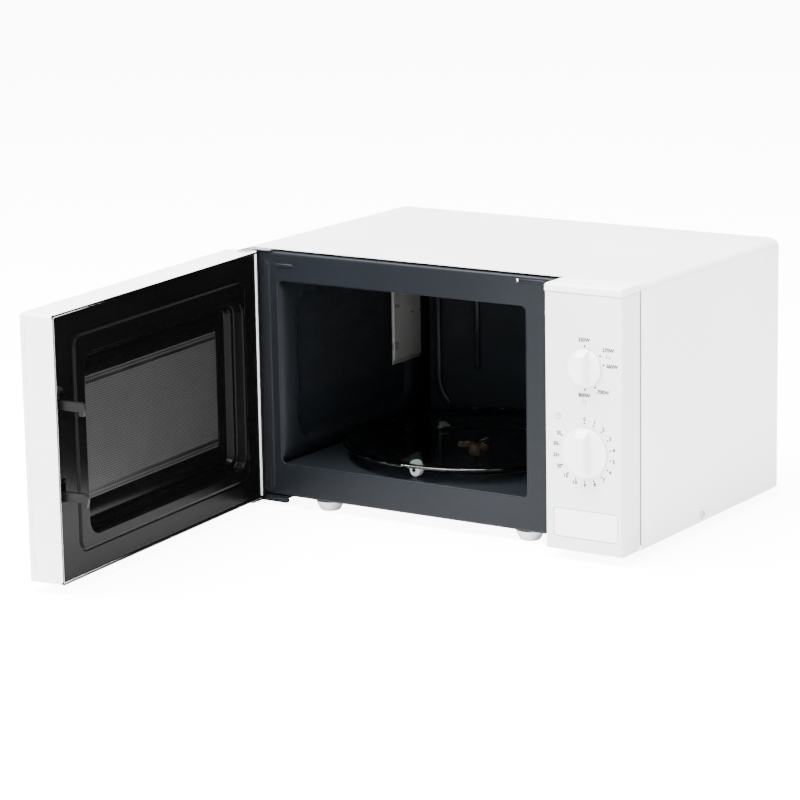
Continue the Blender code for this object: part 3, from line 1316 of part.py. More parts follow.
def build_door(oven):
    axis = empty("door_axis", (HINGE_X, HINGE_Y, 0), oven, -radians(DOOR_OPEN))
    door = empty("door_space", (-HINGE_X, -HINGE_Y, 0), axis)
    door_frame(door)
    door_front_plate(door)
    door_window(door)
    door_steel_frame(door)
    choke_cover(door)
    latch_hooks(door)
    latch_spring(door)


def build_controls(oven):
    control_panel_housing(oven)
    control_fascia(oven)
    knob("power_knob", POWER_KNOB_R, 8 * MM, POWER_Z, oven)
    knob("timer_knob", TIMER_KNOB_R, 9.5 * MM, TIMER_Z, oven)
    shaft("power_shaft", POWER_Z, oven)
    shaft("timer_shaft", TIMER_Z, oven)
    timer_unit(oven)
    release_button(oven)
    button_spring(oven)
    release_lever(oven)
    latch_board(oven)
    switches(oven)


def build_works(oven):
    magnetron(oven)
    waveguide(oven)
    waveguide_cover(oven)
    hv_transformer(oven)
    hv_capacitor(oven)
    hv_diode(oven)
    noise_filter_board(oven)
    fan(oven)
    cavity_lamp(oven)


def main():
    clear_scene()
    oven = empty("oven_space", rest_shift())
    build_case(oven)
    build_turntable(oven)
    build_door(oven)
    build_controls(oven)
    build_works(oven)


main()
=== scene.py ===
import json
from math import cos, pi, radians, sin

import bmesh
import bpy
from mathutils import Matrix, Vector


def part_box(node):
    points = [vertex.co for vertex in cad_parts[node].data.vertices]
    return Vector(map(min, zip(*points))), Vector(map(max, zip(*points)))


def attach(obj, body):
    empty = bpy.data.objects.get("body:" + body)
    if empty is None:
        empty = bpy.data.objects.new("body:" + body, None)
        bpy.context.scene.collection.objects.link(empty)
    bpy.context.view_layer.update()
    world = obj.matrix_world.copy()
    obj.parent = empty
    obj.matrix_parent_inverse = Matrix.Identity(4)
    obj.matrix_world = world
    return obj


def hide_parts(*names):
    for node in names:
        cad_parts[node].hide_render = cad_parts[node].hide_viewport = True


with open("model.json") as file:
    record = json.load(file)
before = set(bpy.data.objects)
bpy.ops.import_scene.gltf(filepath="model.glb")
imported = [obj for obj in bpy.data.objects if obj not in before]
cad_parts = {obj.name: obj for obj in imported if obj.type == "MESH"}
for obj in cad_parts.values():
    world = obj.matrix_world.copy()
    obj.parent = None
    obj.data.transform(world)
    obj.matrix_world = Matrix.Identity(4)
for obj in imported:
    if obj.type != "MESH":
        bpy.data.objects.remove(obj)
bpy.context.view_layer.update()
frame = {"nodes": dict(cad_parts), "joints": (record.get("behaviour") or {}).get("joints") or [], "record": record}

# A countertop microwave oven standing open, dressed over its fixed frame.
# Pieces are laid out in the oven's own millimetres: x from the case's left side, y back from the
# front plate, z up from the case's underside. The door's pieces use the same space, door shut.

mm = 0.001
nodes = frame["nodes"]
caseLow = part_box("wrapper")[0]
ovenPlace = Matrix.Translation((caseLow.x + 1.2 * mm, caseLow.y - 2 * mm, caseLow.z))
doorJoint = next(j for j in frame["joints"] if j["name"] == "door_swing")
hinge = Matrix.Translation(doorJoint["pos_m"])
doorPlace = hinge @ Matrix.Rotation(radians(-85), 4, 'Z') @ hinge.inverted() @ ovenPlace


# mesh helpers

def addPiece(name, mesh, body, material, place=ovenPlace):
    piece = bpy.data.objects.new(name, mesh)
    piece.matrix_world = place
    bpy.context.scene.collection.objects.link(piece)
    mesh.materials.clear()
    mesh.materials.append(material)
    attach(piece, body)
    return piece


def meshOf(bm, name, sharp=32):
    bmesh.ops.scale(bm, vec=(mm, mm, mm), verts=bm.verts)
    bmesh.ops.recalc_face_normals(bm, faces=bm.faces)
    mesh = bpy.data.meshes.new(name)
    bm.to_mesh(mesh)
    bm.free()
    mesh.shade_smooth()
    mesh.set_sharp_from_angle(angle=radians(sharp))
    return mesh


def applied(piece):
    # keep what the modifiers make, as a plain mesh
    bpy.context.view_layer.update()
    graph = bpy.context.evaluated_depsgraph_get()
    mesh = bpy.data.meshes.new_from_object(piece.evaluated_get(graph))
    piece.modifiers.clear()
    piece.data = mesh
    return piece


def cutWith(piece, bm, name, sharp=32, operation='DIFFERENCE'):
    # take a solid out of a piece, or join one to it
    tool = bpy.data.objects.new(name, meshOf(bm, name))
    tool.matrix_world = piece.matrix_world
    bpy.context.scene.collection.objects.link(tool)
    change = piece.modifiers.new(name, 'BOOLEAN')
    change.operation = operation
    change.object = tool
    applied(piece)
    bpy.data.objects.remove(tool, do_unlink=True)
    piece.data.shade_smooth()
    piece.data.set_sharp_from_angle(angle=radians(sharp))


def thicken(piece, sheet, offset):
    # give an open skin the thickness of its sheet
    thick = piece.modifiers.new("sheet", 'SOLIDIFY')
    thick.thickness = sheet * mm
    thick.offset = offset
    applied(piece)


def boxIn(bm, low, high, bevel=0.0, steps=3, axis=None):
    made = bmesh.ops.create_cube(bm, size=1)["verts"]
    size = [b - a for a, b in zip(low, high)]
    bmesh.ops.scale(bm, vec=size, verts=made)
    bmesh.ops.translate(bm, vec=[(a + b) / 2 for a, b in zip(low, high)], verts=made)
    if bevel:
        edges = list({e for v in made for e in v.link_edges})
        if axis is not None:
            edges = [e for e in edges
                     if abs((e.verts[0].co - e.verts[1].co)[axis]) > size[axis] * 0.9]
        bmesh.ops.bevel(bm, geom=edges, offset=bevel, segments=steps, profile=0.5, affect='EDGES')
    return made


def prismIn(bm, near, far):
    # a solid between two outlines of equal count
    near, far = [bm.verts.new(point) for point in near], [bm.verts.new(point) for point in far]
    bm.faces.new(near)
    bm.faces.new(far[::-1])
    for i in range(len(near)):
        j = (i + 1) % len(near)
        bm.faces.new((near[i], far[i], far[j], near[j]))
    bmesh.ops.recalc_face_normals(bm, faces=bm.faces)


def roundRect(left, low, right, top, radius, steps=8):
    loop = []
    corners = ((right - radius, low + radius, -90), (right - radius, top - radius, 0),
               (left + radius, top - radius, 90), (left + radius, low + radius, 180))
    for x, y, start in corners:
        for i in range(steps + 1):
            angle = radians(start + 90 * i / steps)
            loop.append((x + radius * cos(angle), y + radius * sin(angle)))
    return loop


def pressedSheet(sections, toSpace, capped):
    # skin through loops of equal count; each section is (loop, depth)
    bm = bmesh.new()
    rings = [[bm.verts.new(toSpace(u, v, depth)) for u, v in loop] for loop, depth in sections]
    for outer, inner in zip(rings, rings[1:]):
        for i in range(len(outer)):
            j = (i + 1) % len(outer)
            bm.faces.new((outer[i], outer[j], inner[j], inner[i]))
    if capped:
        bm.faces.new(rings[-1])
    return bm


def turnedIn(bm, profile, centre, axis='Z', sides=96):
    # profile of (radius, height) points, turned about an axis through centre
    turn = {'Z': Matrix.Identity(3), 'Y': Matrix.Rotation(pi / 2, 3, 'X'),
            'X': Matrix.Rotation(pi / 2, 3, 'Y')}[axis]
    rings = []
    for radius, height in profile:
        if radius < 0.001:
            rings.append([bm.verts.new(turn @ Vector((0, 0, height)) + Vector(centre))])
            continue
        ring = []
        for i in range(sides):
            angle = 2 * pi * i / sides
            spot = turn @ Vector((radius * cos(angle), radius * sin(angle), height))
            ring.append(bm.verts.new(spot + Vector(centre)))
        rings.append(ring)
    for a, b in zip(rings, rings[1:]):
        for i in range(sides):
            j = (i + 1) % sides
            if len(a) == 1:
                bm.faces.new((a[0], b[i], b[j]))
            elif len(b) == 1:
                bm.faces.new((a[i], a[j], b[0]))
            else:
                bm.faces.new((a[i], a[j], b[j], b[i]))
    return rings


def beadIn(bm, path, width, rise, toSpace, sides=10):
    # a pressed rib along a flat path, with tapering ends
    count = len(path)
    rings = []
    for i, (u, v) in enumerate(path):
        before, after = path[max(i - 1, 0)], path[min(i + 1, count - 1)]
        run = Vector((after[0] - before[0], after[1] - before[1])).normalized()
        across = Vector((-run.y, run.x))
        fade = 0.35 if i in (0, count - 1) else 1
        ring = []
        for k in range(sides + 1):
            angle = pi * k / sides
            offset = across * (width / 2 * fade * cos(angle))
            ring.append(bm.verts.new(toSpace(u + offset.x, v + offset.y,
                                             rise * fade * sin(angle) - 0.05)))
        rings.append(ring)
    for a, b in zip(rings, rings[1:]):
        for k in range(sides):
            bm.faces.new((a[k], a[k + 1], b[k + 1], b[k]))
        bm.faces.new((a[sides], a[0], b[0], b[sides]))
    bm.faces.new(rings[0])
    bm.faces.new(rings[-1])


def bentPath(points, radius, steps=6, endStep=2.0):
    # rounds the corners of a polyline and puts a close second point at each end
    path = []
    for i, point in enumerate(points):
        here = Vector(point)
        if i in (0, len(points) - 1):
            towards = (Vector(points[1 if i == 0 else i - 1]) - here).normalized() * endStep
            pair = [here, here + towards]
            path += pair if i == 0 else pair[::-1]
            continue
        start = here + (Vector(points[i - 1]) - here).normalized() * radius
        end = here + (Vector(points[i + 1]) - here).normalized() * radius
        for k in range(steps + 1):
            t = k / steps
            path.append(start * (1 - t) ** 2 + here * 2 * t * (1 - t) + end * t ** 2)
    return [tuple(p) for p in path]


def softCorners(mesh, angle):
    # rounded shading over a solid whose faces share no points
    limit = cos(radians(angle))
    def spot(index):
        co = mesh.vertices[index].co
        return (round(co.x * 1e6), round(co.y * 1e6), round(co.z * 1e6))
    spots = [spot(i) for i in range(len(mesh.vertices))]
    around = {}
    faces = [(p.normal.copy(), p.area, tuple(p.vertices)) for p in mesh.polygons]
    for i, (normal, area, points) in enumerate(faces):
        for v in points:
            around.setdefault(spots[v], []).append(i)
    normals = []
    for normal, area, points in faces:
        for v in points:
            total = Vector((0, 0, 0))
            for other in around[spots[v]]:
                if normal.dot(faces[other][0]) > limit:
                    total += faces[other][0] * faces[other][1]
            normals.append(total.normalized() if total.length > 0 else normal)
    mesh.shade_smooth()
    mesh.normals_split_custom_set(normals)


# shader groups

def newGroup(name, inputs, outputs):
    group = bpy.data.node_groups.new(name, 'ShaderNodeTree')
    for label, kind, value in inputs:
        made = group.interface.new_socket(name=label, in_out='INPUT', socket_type=kind)
        made.default_value = value
    for label, kind in outputs:
        group.interface.new_socket(name=label, in_out='OUTPUT', socket_type=kind)
    return group, group.nodes.new('NodeGroupInput'), group.nodes.new('NodeGroupOutput')


def mathNode(tree, operation, a, b=None, clamp=False):
    node = tree.nodes.new('ShaderNodeMath')
    node.operation = operation
    node.use_clamp = clamp
    for i, value in enumerate((a, b)):
        if value is None:
            continue
        if isinstance(value, (int, float)):
            node.inputs[i].default_value = value
        else:
            tree.links.new(value, node.inputs[i])
    return node.outputs[0]


def farFrom(tree, dx, dy):
    return mathNode(tree, 'SQRT', mathNode(tree, 'ADD', mathNode(tree, 'MULTIPLY', dx, dx),
                                           mathNode(tree, 'MULTIPLY', dy, dy)))


def buildToneDrift():
    # slow change between two tones
    group, given, out = newGroup("toneDrift", [
        ("Scale", 'NodeSocketFloat', 8.0), ("Low", 'NodeSocketColor', (0.5, 0.5, 0.5, 1)),
        ("High", 'NodeSocketColor', (0.6, 0.6, 0.6, 1))],
        [("Color", 'NodeSocketColor'), ("Mask", 'NodeSocketFloat')])
    link = group.links.new
    coord = group.nodes.new('ShaderNodeTexCoord')
    noise = group.nodes.new('ShaderNodeTexNoise')
    noise.inputs["Detail"].default_value = 4
    spread = group.nodes.new('ShaderNodeMapRange')
    spread.inputs["From Min"].default_value = 0.32
    spread.inputs["From Max"].default_value = 0.68
    mix = group.nodes.new('ShaderNodeMix')
    mix.data_type = 'RGBA'
    link(coord.outputs["Object"], noise.inputs["Vector"])
    link(given.outputs["Scale"], noise.inputs["Scale"])
    link(noise.outputs["Fac"], spread.inputs["Value"])
    link(spread.outputs["Result"], mix.inputs["Factor"])
    link(given.outputs["Low"], mix.inputs["A"])
    link(given.outputs["High"], mix.inputs["B"])
    link(mix.outputs["Result"], out.inputs["Color"])
    link(spread.outputs["Result"], out.inputs["Mask"])
    return group


def buildHandling():
    # wiped and handled patches, as a roughness
    group, given, out = newGroup("handling", [
        ("Scale", 'NodeSocketFloat', 14.0), ("Smooth", 'NodeSocketFloat', 0.3),
        ("Rough", 'NodeSocketFloat', 0.4)], [("Roughness", 'NodeSocketFloat')])
    link = group.links.new
    coord = group.nodes.new('ShaderNodeTexCoord')
    stretch = group.nodes.new('ShaderNodeMapping')
    stretch.inputs["Scale"].default_value = (1.0, 1.0, 2.6)
    stretch.inputs["Rotation"].default_value = (0.3, 0.5, 0.2)
    noise = group.nodes.new('ShaderNodeTexNoise')
    noise.inputs["Detail"].default_value = 3
    spread = group.nodes.new('ShaderNodeMapRange')
    spread.inputs["From Min"].default_value = 0.3
    spread.inputs["From Max"].default_value = 0.7
    link(coord.outputs["Object"], stretch.inputs["Vector"])
    link(stretch.outputs["Vector"], noise.inputs["Vector"])
    link(given.outputs["Scale"], noise.inputs["Scale"])
    link(noise.outputs["Fac"], spread.inputs["Value"])
    link(given.outputs["Smooth"], spread.inputs["To Min"])
    link(given.outputs["Rough"], spread.inputs["To Max"])
    link(spread.outputs["Result"], out.inputs["Roughness"])
    return group


def buildGrain():
    # moulded grain, orange peel or brushing, as a normal
    group, given, out = newGroup("grain", [
        ("Scale", 'NodeSocketFloat', 900.0), ("Height", 'NodeSocketFloat', 0.00001),
        ("Stretch", 'NodeSocketVector', (1, 1, 1))],
        [("Normal", 'NodeSocketVector'), ("Mask", 'NodeSocketFloat')])
    link = group.links.new
    coord = group.nodes.new('ShaderNodeTexCoord')
    stretch = group.nodes.new('ShaderNodeVectorMath')
    stretch.operation = 'MULTIPLY'
    noise = group.nodes.new('ShaderNodeTexNoise')
    noise.inputs["Detail"].default_value = 3
    bump = group.nodes.new('ShaderNodeBump')
    bump.inputs["Strength"].default_value = 1.0
    link(coord.outputs["Object"], stretch.inputs[0])
    link(given.outputs["Stretch"], stretch.inputs[1])
    link(stretch.outputs["Vector"], noise.inputs["Vector"])
    link(given.outputs["Scale"], noise.inputs["Scale"])
    link(noise.outputs["Fac"], bump.inputs["Height"])
    link(given.outputs["Height"], bump.inputs["Distance"])
    link(bump.outputs["Normal"], out.inputs["Normal"])
    link(noise.outputs["Fac"], out.inputs["Mask"])
    return group


def buildDotGrid():
    # staggered round holes on a flat field; gives 1 inside a hole
    group, given, out = newGroup("dotGrid", [
        ("Across", 'NodeSocketFloat', 0.0), ("Up", 'NodeSocketFloat', 0.0),
        ("Pitch", 'NodeSocketFloat', 2.4), ("Radius", 'NodeSocketFloat', 0.8)],
        [("Mask", 'NodeSocketFloat')])
    rowPitch = mathNode(group, 'MULTIPLY', given.outputs["Pitch"], 0.866)
    row = mathNode(group, 'DIVIDE', given.outputs["Up"], rowPitch)
    rowNumber = mathNode(group, 'FLOOR', row)
    shift = mathNode(group, 'MULTIPLY', mathNode(group, 'FLOORED_MODULO', rowNumber, 2.0), 0.5)
    column = mathNode(group, 'ADD', mathNode(group, 'DIVIDE', given.outputs["Across"],
                                            given.outputs["Pitch"]), shift)
    dx = mathNode(group, 'MULTIPLY', mathNode(group, 'SUBTRACT', mathNode(group, 'FRACT', column),
                                              0.5), given.outputs["Pitch"])
    dy = mathNode(group, 'MULTIPLY', mathNode(group, 'SUBTRACT', mathNode(group, 'FRACT', row),
                                              0.5), rowPitch)
    inside = mathNode(group, 'SUBTRACT', given.outputs["Radius"], farFrom(group, dx, dy))
    soft = mathNode(group, 'MULTIPLY', inside, 6.0)
    mask = mathNode(group, 'ADD', soft, 0.5, clamp=True)
    group.links.new(mask, out.inputs["Mask"])
    return group


groups = {"tone": buildToneDrift(), "handling": buildHandling(), "grain": buildGrain(),
          "dots": buildDotGrid()}
print("shader groups ready")


# finishes

finishes = {
    "whiteEnamel": dict(low=(0.80, 0.805, 0.81), high=(0.86, 0.865, 0.87), tone=5,
                        smooth=0.30, rough=0.40, wear=9, grain=520, height=0.000012,
                        coat=0.25, coatRoughness=0.22),
    "darkEnamel": dict(low=(0.0062, 0.0074, 0.0094), high=(0.0078, 0.0092, 0.0116), tone=6,
                       smooth=0.30, rough=0.36, wear=8, grain=620, height=0.000006,
                       specular=0.10),
    "cavityEnamel": dict(low=(0.0056, 0.0067, 0.0083), high=(0.008, 0.0096, 0.012), tone=7,
                         smooth=0.30, rough=0.40, wear=8, grain=620, height=0.000008,
                         specular=0.10),
    "whitePlastic": dict(low=(0.77, 0.775, 0.785), high=(0.83, 0.835, 0.84), tone=7,
                         smooth=0.36, rough=0.47, wear=11, grain=1500, height=0.00001),
    # a darker copy of the white plastic: painted shade for the panel's front, turned away from the overhead light
    "fasciaShadedPlastic": dict(low=(0.64, 0.645, 0.655), high=(0.68, 0.685, 0.695), tone=7,
                          smooth=0.36, rough=0.47, wear=11, grain=1500, height=0.00001),
    "knobPlastic": dict(low=(0.76, 0.765, 0.77), high=(0.83, 0.835, 0.84), tone=30,
                        smooth=0.28, rough=0.42, wear=40, grain=1800, height=0.000008),
    "blackGloss": dict(low=(0.0012, 0.0012, 0.0013), high=(0.0018, 0.0018, 0.0019), tone=8,
                       smooth=0.16, rough=0.22, wear=6, grain=700, height=0.000004,
                       specular=0.05),
    "blackPlastic": dict(low=(0.0018, 0.0018, 0.0019), high=(0.0028, 0.0028, 0.0029), tone=30,
                         smooth=0.30, rough=0.42, wear=20, grain=1700, height=0.000006,
                         specular=0.12),
    "galvanised": dict(low=(0.42, 0.43, 0.44), high=(0.60, 0.61, 0.62), tone=38,
                       smooth=0.30, rough=0.52, wear=30, grain=260, height=0.00001,
                       metallic=0.9),
    "brightSteel": dict(low=(0.55, 0.55, 0.56), high=(0.68, 0.68, 0.69), tone=20,
                        smooth=0.20, rough=0.36, wear=60, grain=900, height=0.000008,
                        stretch=(1, 1, 0.06), metallic=1.0),
    "greyRubber": dict(low=(0.50, 0.51, 0.52), high=(0.60, 0.61, 0.62), tone=40,
                       smooth=0.55, rough=0.72, wear=60, grain=1900, height=0.00002),
    "creamPlastic": dict(low=(0.66, 0.62, 0.52), high=(0.76, 0.72, 0.62), tone=25,
                         smooth=0.42, rough=0.58, wear=30, grain=1400, height=0.00001),
    "brownPlastic": dict(low=(0.16, 0.075, 0.035), high=(0.25, 0.12, 0.06), tone=60,
                         smooth=0.22, rough=0.38, wear=60, grain=1500, height=0.00001),
    "copperWire": dict(low=(0.48, 0.19, 0.09), high=(0.66, 0.30, 0.16), tone=90,
                       smooth=0.25, rough=0.42, wear=60, grain=650, height=0.0002,
                       stretch=(0.02, 0.02, 1.4), metallic=1.0),
    "coreSteel": dict(low=(0.20, 0.20, 0.21), high=(0.42, 0.42, 0.43), tone=40,
                      smooth=0.35, rough=0.55, wear=30, grain=900, height=0.0001,
                      stretch=(0.02, 1.6, 0.02), metallic=1.0),
    "micaBoard": dict(low=(0.30, 0.27, 0.22), high=(0.47, 0.43, 0.37), tone=120,
                      smooth=0.45, rough=0.7, wear=60, grain=350, height=0.00005),
    "trayGlass": dict(low=(0.62, 0.74, 0.70), high=(0.68, 0.79, 0.75), tone=6,
                      smooth=0.015, rough=0.05, wear=12, grain=55, height=0.00003,
                      transmission=1.0, ior=1.5),
    "smokedWindow": dict(low=(0.018, 0.018, 0.020), high=(0.026, 0.026, 0.028), tone=6,
                         smooth=0.04, rough=0.10, wear=9, grain=40, height=0.00002, coat=0.5,
                         coatRoughness=0.05),
    # light grey for the duct: a painted reflection, lighter than the cavity enamel around it
    "ductReflectionGrey": dict(low=(0.13, 0.128, 0.124), high=(0.15, 0.148, 0.144), tone=14,
                     smooth=0.25, rough=0.4, wear=18, grain=620, height=0.000014),
    "printGrey": dict(low=(0.004, 0.004, 0.0045), high=(0.006, 0.006, 0.0065), tone=200,
                      smooth=0.5, rough=0.65, wear=90, grain=2500, height=0.000004,
                      specular=0.2),
}


def placeGroup(tree, key, **values):
    node = tree.nodes.new('ShaderNodeGroup')
    node.node_tree = groups[key]
    for label, value in values.items():
        node.inputs[label].default_value = value
    return node


def makeFinish(name, look):
    material = bpy.data.materials.new(name)
    material.use_nodes = True
    tree = material.node_tree
    shader = tree.nodes["Principled BSDF"]
    tone = placeGroup(tree, "tone", Scale=look["tone"], Low=(*look["low"], 1),
                      High=(*look["high"], 1))
    wear = placeGroup(tree, "handling", Scale=look["wear"], Smooth=look["smooth"],
                      Rough=look["rough"])
    grain = placeGroup(tree, "grain", Scale=look["grain"], Height=look["height"],
                       Stretch=look.get("stretch", (1, 1, 1)))
    tree.links.new(tone.outputs["Color"], shader.inputs["Base Color"])
    tree.links.new(wear.outputs["Roughness"], shader.inputs["Roughness"])
    tree.links.new(grain.outputs["Normal"], shader.inputs["Normal"])
    shader.inputs["Metallic"].default_value = look.get("metallic", 0.0)
    shader.inputs["Specular IOR Level"].default_value = look.get("specular", 0.5)
    shader.inputs["Coat Weight"].default_value = look.get("coat", 0.0)
    shader.inputs["Coat Roughness"].default_value = look.get("coatRoughness", 0.03)
    shader.inputs["Transmission Weight"].default_value = look.get("transmission", 0.0)
    shader.inputs["IOR"].default_value = look.get("ior", 1.48)
    return material


materials = {name: makeFinish(name, look) for name, look in finishes.items()}


perforation = {"hole": (0.045, 0.045, 0.046), "sheet": (0.0018, 0.0018, 0.0018),
               "sheetHigh": (0.004, 0.004, 0.004), "pitch": 2.6, "radius": 0.80, "rough": 0.7,
               "fieldLow": 69.0, "fieldTop": 169.0, "fieldSides": (58.5, 291.5),
               "rowPitch": 3.25, "rows": (172.6, 175.6, 65.4, 62.4)}
vents = {"hole": (0.012, 0.013, 0.014), "pitch": 4.2, "radius": 0.9, "rough": 0.6,
         "field": (45.0, 183.0, 90.0, 190.0)}


def addPatch(tree, across, up, limits):
    # 1 inside a rectangle of the flat field
    tests = (('GREATER_THAN', across), ('LESS_THAN', across), ('GREATER_THAN', up),
             ('LESS_THAN', up))
    total = 1.0
    for (operation, value), limit in zip(tests, limits):
        total = mathNode(tree, 'MULTIPLY', mathNode(tree, operation, value, limit), total)
    return total


def flatCoords(tree, acrossAxis):
    coord = tree.nodes.new('ShaderNodeTexCoord')
    split = tree.nodes.new('ShaderNodeSeparateXYZ')
    tree.links.new(coord.outputs["Object"], split.inputs[0])
    return (mathNode(tree, 'MULTIPLY', split.outputs[acrossAxis], 1000.0),
            mathNode(tree, 'MULTIPLY', split.outputs["Z"], 1000.0))


def pierce(material, mask, holeColor, holeRoughness):
    # put a hole pattern over a finish: colour, roughness and a dip at each hole
    tree = material.node_tree
    shader = tree.nodes["Principled BSDF"]
    oldColor = shader.inputs["Base Color"].links[0].from_socket
    oldRough = shader.inputs["Roughness"].links[0].from_socket
    oldNormal = shader.inputs["Normal"].links[0].from_socket
    color = tree.nodes.new('ShaderNodeMix')
    color.data_type = 'RGBA'
    color.inputs["B"].default_value = (*holeColor, 1)
    tree.links.new(mask, color.inputs["Factor"])
    tree.links.new(oldColor, color.inputs["A"])
    tree.links.new(color.outputs["Result"], shader.inputs["Base Color"])
    rough = tree.nodes.new('ShaderNodeMix')
    rough.inputs["B"].default_value = holeRoughness
    tree.links.new(mask, rough.inputs["Factor"])
    tree.links.new(oldRough, rough.inputs["A"])
    tree.links.new(rough.outputs["Result"], shader.inputs["Roughness"])
    dip = tree.nodes.new('ShaderNodeBump')
    dip.inputs["Strength"].default_value = 0.6
    dip.inputs["Distance"].default_value = 0.0003
    dip.invert = True
    tree.links.new(mask, dip.inputs["Height"])
    tree.links.new(oldNormal, dip.inputs["Normal"])
    tree.links.new(dip.outputs["Normal"], shader.inputs["Normal"])


def makeScreenFinish():
    material = makeFinish("doorScreenFinish", {**finishes["blackPlastic"],
                                               "low": perforation["sheet"],
                                               "high": perforation["sheetHigh"]})
    tree = material.node_tree
    across, up = flatCoords(tree, "X")
    dots = placeGroup(tree, "dots", Pitch=perforation["pitch"], Radius=perforation["radius"])
    tree.links.new(across, dots.inputs["Across"])
    tree.links.new(up, dots.inputs["Up"])
    field = addPatch(tree, across, up, (*perforation["fieldSides"], perforation["fieldLow"],
                                        perforation["fieldTop"]))
    rows = None
    pitch = perforation["rowPitch"]
    for height in perforation["rows"]:           # loose rows above and below the field
        dx = mathNode(tree, 'MULTIPLY', mathNode(tree, 'SUBTRACT', mathNode(
            tree, 'FRACT', mathNode(tree, 'DIVIDE', across, pitch)), 0.5), pitch)
        dy = mathNode(tree, 'SUBTRACT', up, height)
        dot = mathNode(tree, 'LESS_THAN', farFrom(tree, dx, dy), perforation["radius"])
        rows = dot if rows is None else mathNode(tree, 'MAXIMUM', rows, dot)
    mask = mathNode(tree, 'MAXIMUM', mathNode(tree, 'MULTIPLY', dots.outputs["Mask"], field), rows)
    pierce(material, mask, perforation["hole"], perforation["rough"])
    return material


def makeVentFinish():
    material = makeFinish("ventWallFinish", finishes["cavityEnamel"])
    tree = material.node_tree
    across, up = flatCoords(tree, "Y")
    dots = placeGroup(tree, "dots", Pitch=vents["pitch"], Radius=vents["radius"])
    tree.links.new(across, dots.inputs["Across"])
    tree.links.new(up, dots.inputs["Up"])
    field = addPatch(tree, across, up, vents["field"])
    pierce(material, mathNode(tree, 'MULTIPLY', dots.outputs["Mask"], field), vents["hole"],
           vents["rough"])
    return material


materials["doorScreen"] = makeScreenFinish()
materials["ventWall"] = makeVentFinish()
print("finishes ready:", len(materials))


# the fixed frame takes its finishes

slotFinish = {
    "white_enamel": "whiteEnamel", "dark_enamel": "darkEnamel", "white_plastic": "whitePlastic",
    "knob_plastic": "knobPlastic", "black_gloss": "blackGloss", "black_plastic": "blackPlastic",
    "galvanised": "galvanised", "bright_steel": "brightSteel", "grey_plastic": "greyRubber",
    "cream_plastic": "creamPlastic", "winding_copper": "copperWire", "tray_glass": "trayGlass",
    "smoked_window": "smokedWindow", "mica_sheet": "micaBoard"}
ownFinish = {"hv_transformer_core": "coreSteel", "roller_ring": "blackPlastic",
             "turntable_coupler": "brownPlastic", "cavity_floor": "cavityEnamel",
             "cavity_right_wall": "cavityEnamel", "cavity_ceiling": "cavityEnamel",
             "cavity_rear_wall": "cavityEnamel"}
for part in frame["record"]["subparts"]:
    node = nodes[part["node"]]
    look = ownFinish.get(part["node"], slotFinish[part["material_slot"]])
    node.data.materials.clear()
    node.data.materials.append(materials[look])
    softCorners(node.data, 34)
print("frame finished:", len(nodes))


# front plate ribs

plate = {"edge": (1.4, 2.0, 441.6, 247.6), "edgeCorner": 5, "mouth": (38.5, 35, 321, 219),
         "mouthCorner": 6, "sheet": 0.6, "flange": 12, "fold": 2.5,
         "lip": ((-1.8, 0), (-1.0, 0), (-0.4, 0.1), (-0.1, 0.35), (0, 0.9)),
         "slotX": (349.0, 357.5), "slots": (71.5, 155.0), "slotHigh": 27.5,
         "controlHole": (372, 64, 436, 206), "leverHole": (363, 18, 377, 36),
         "ribWidth": 3.4, "ribRise": 1.1,
         "ribs": [[(36, 234.5), (57, 234.5)], [(313, 243.0), (343.5, 243.0), (343.5, 215.5)]],
         "pillar": [(22.5, 6), (22.5, 239)], "pillarWidth": 15, "pillarRise": 1.2,
         "ribGlint": [(0, 1.35), (0.8, 1.3), (1.5, 0.9), (1.5, 0.2), (0, 0.2)],
         "ribGlints": ((313, 243.0), (343.5, 215.5))}


def grown(box, inset, corner):
    return roundRect(box[0] + inset, box[1] + inset, box[2] - inset, box[3] - inset,
                     max(corner - inset, 0.4), 10)


def addFrontPlate():
    # a pressed plate: its outer edge turns back, and so does the lip of its mouth
    half, fold, corner = plate["sheet"] / 2, plate["fold"], plate["edgeCorner"]
    toPlate = lambda u, v, depth: (u, depth + half, v)
    edge, mouth = plate["edge"], plate["mouth"]
    sections = [(grown(edge, half, corner), plate["flange"])]
    for i in range(5):
        angle = radians(90 * i / 4)
        sections.append((grown(edge, half + fold * (1 - cos(angle)), corner),
                         fold * (1 - sin(angle))))
    sections.append((grown(edge, fold + 0.9, corner), 0))
    sections += [(grown(mouth, inset, plate["mouthCorner"]), depth)
                 for inset, depth in plate["lip"]]
    skin = addPiece("front_plate_skin", meshOf(pressedSheet(sections, toPlate, False),
                                               "front_plate_skin", 40),
                    "oven", materials["darkEnamel"])
    thicken(skin, plate["sheet"], 0)
    holes = bmesh.new()
    for low in plate["slots"]:
        boxIn(holes, (plate["slotX"][0], -3, low), (plate["slotX"][1], 4, low + plate["slotHigh"]),
              1.0, 3, axis=1)
    for key, corner in (("controlHole", 4), ("leverHole", 1)):
        left, low, right, top = plate[key]
        boxIn(holes, (left, -3, low), (right, 4, top), corner, 3, axis=1)
    cutWith(skin, holes, "plate_slots", 40)
    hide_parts("front_plate")


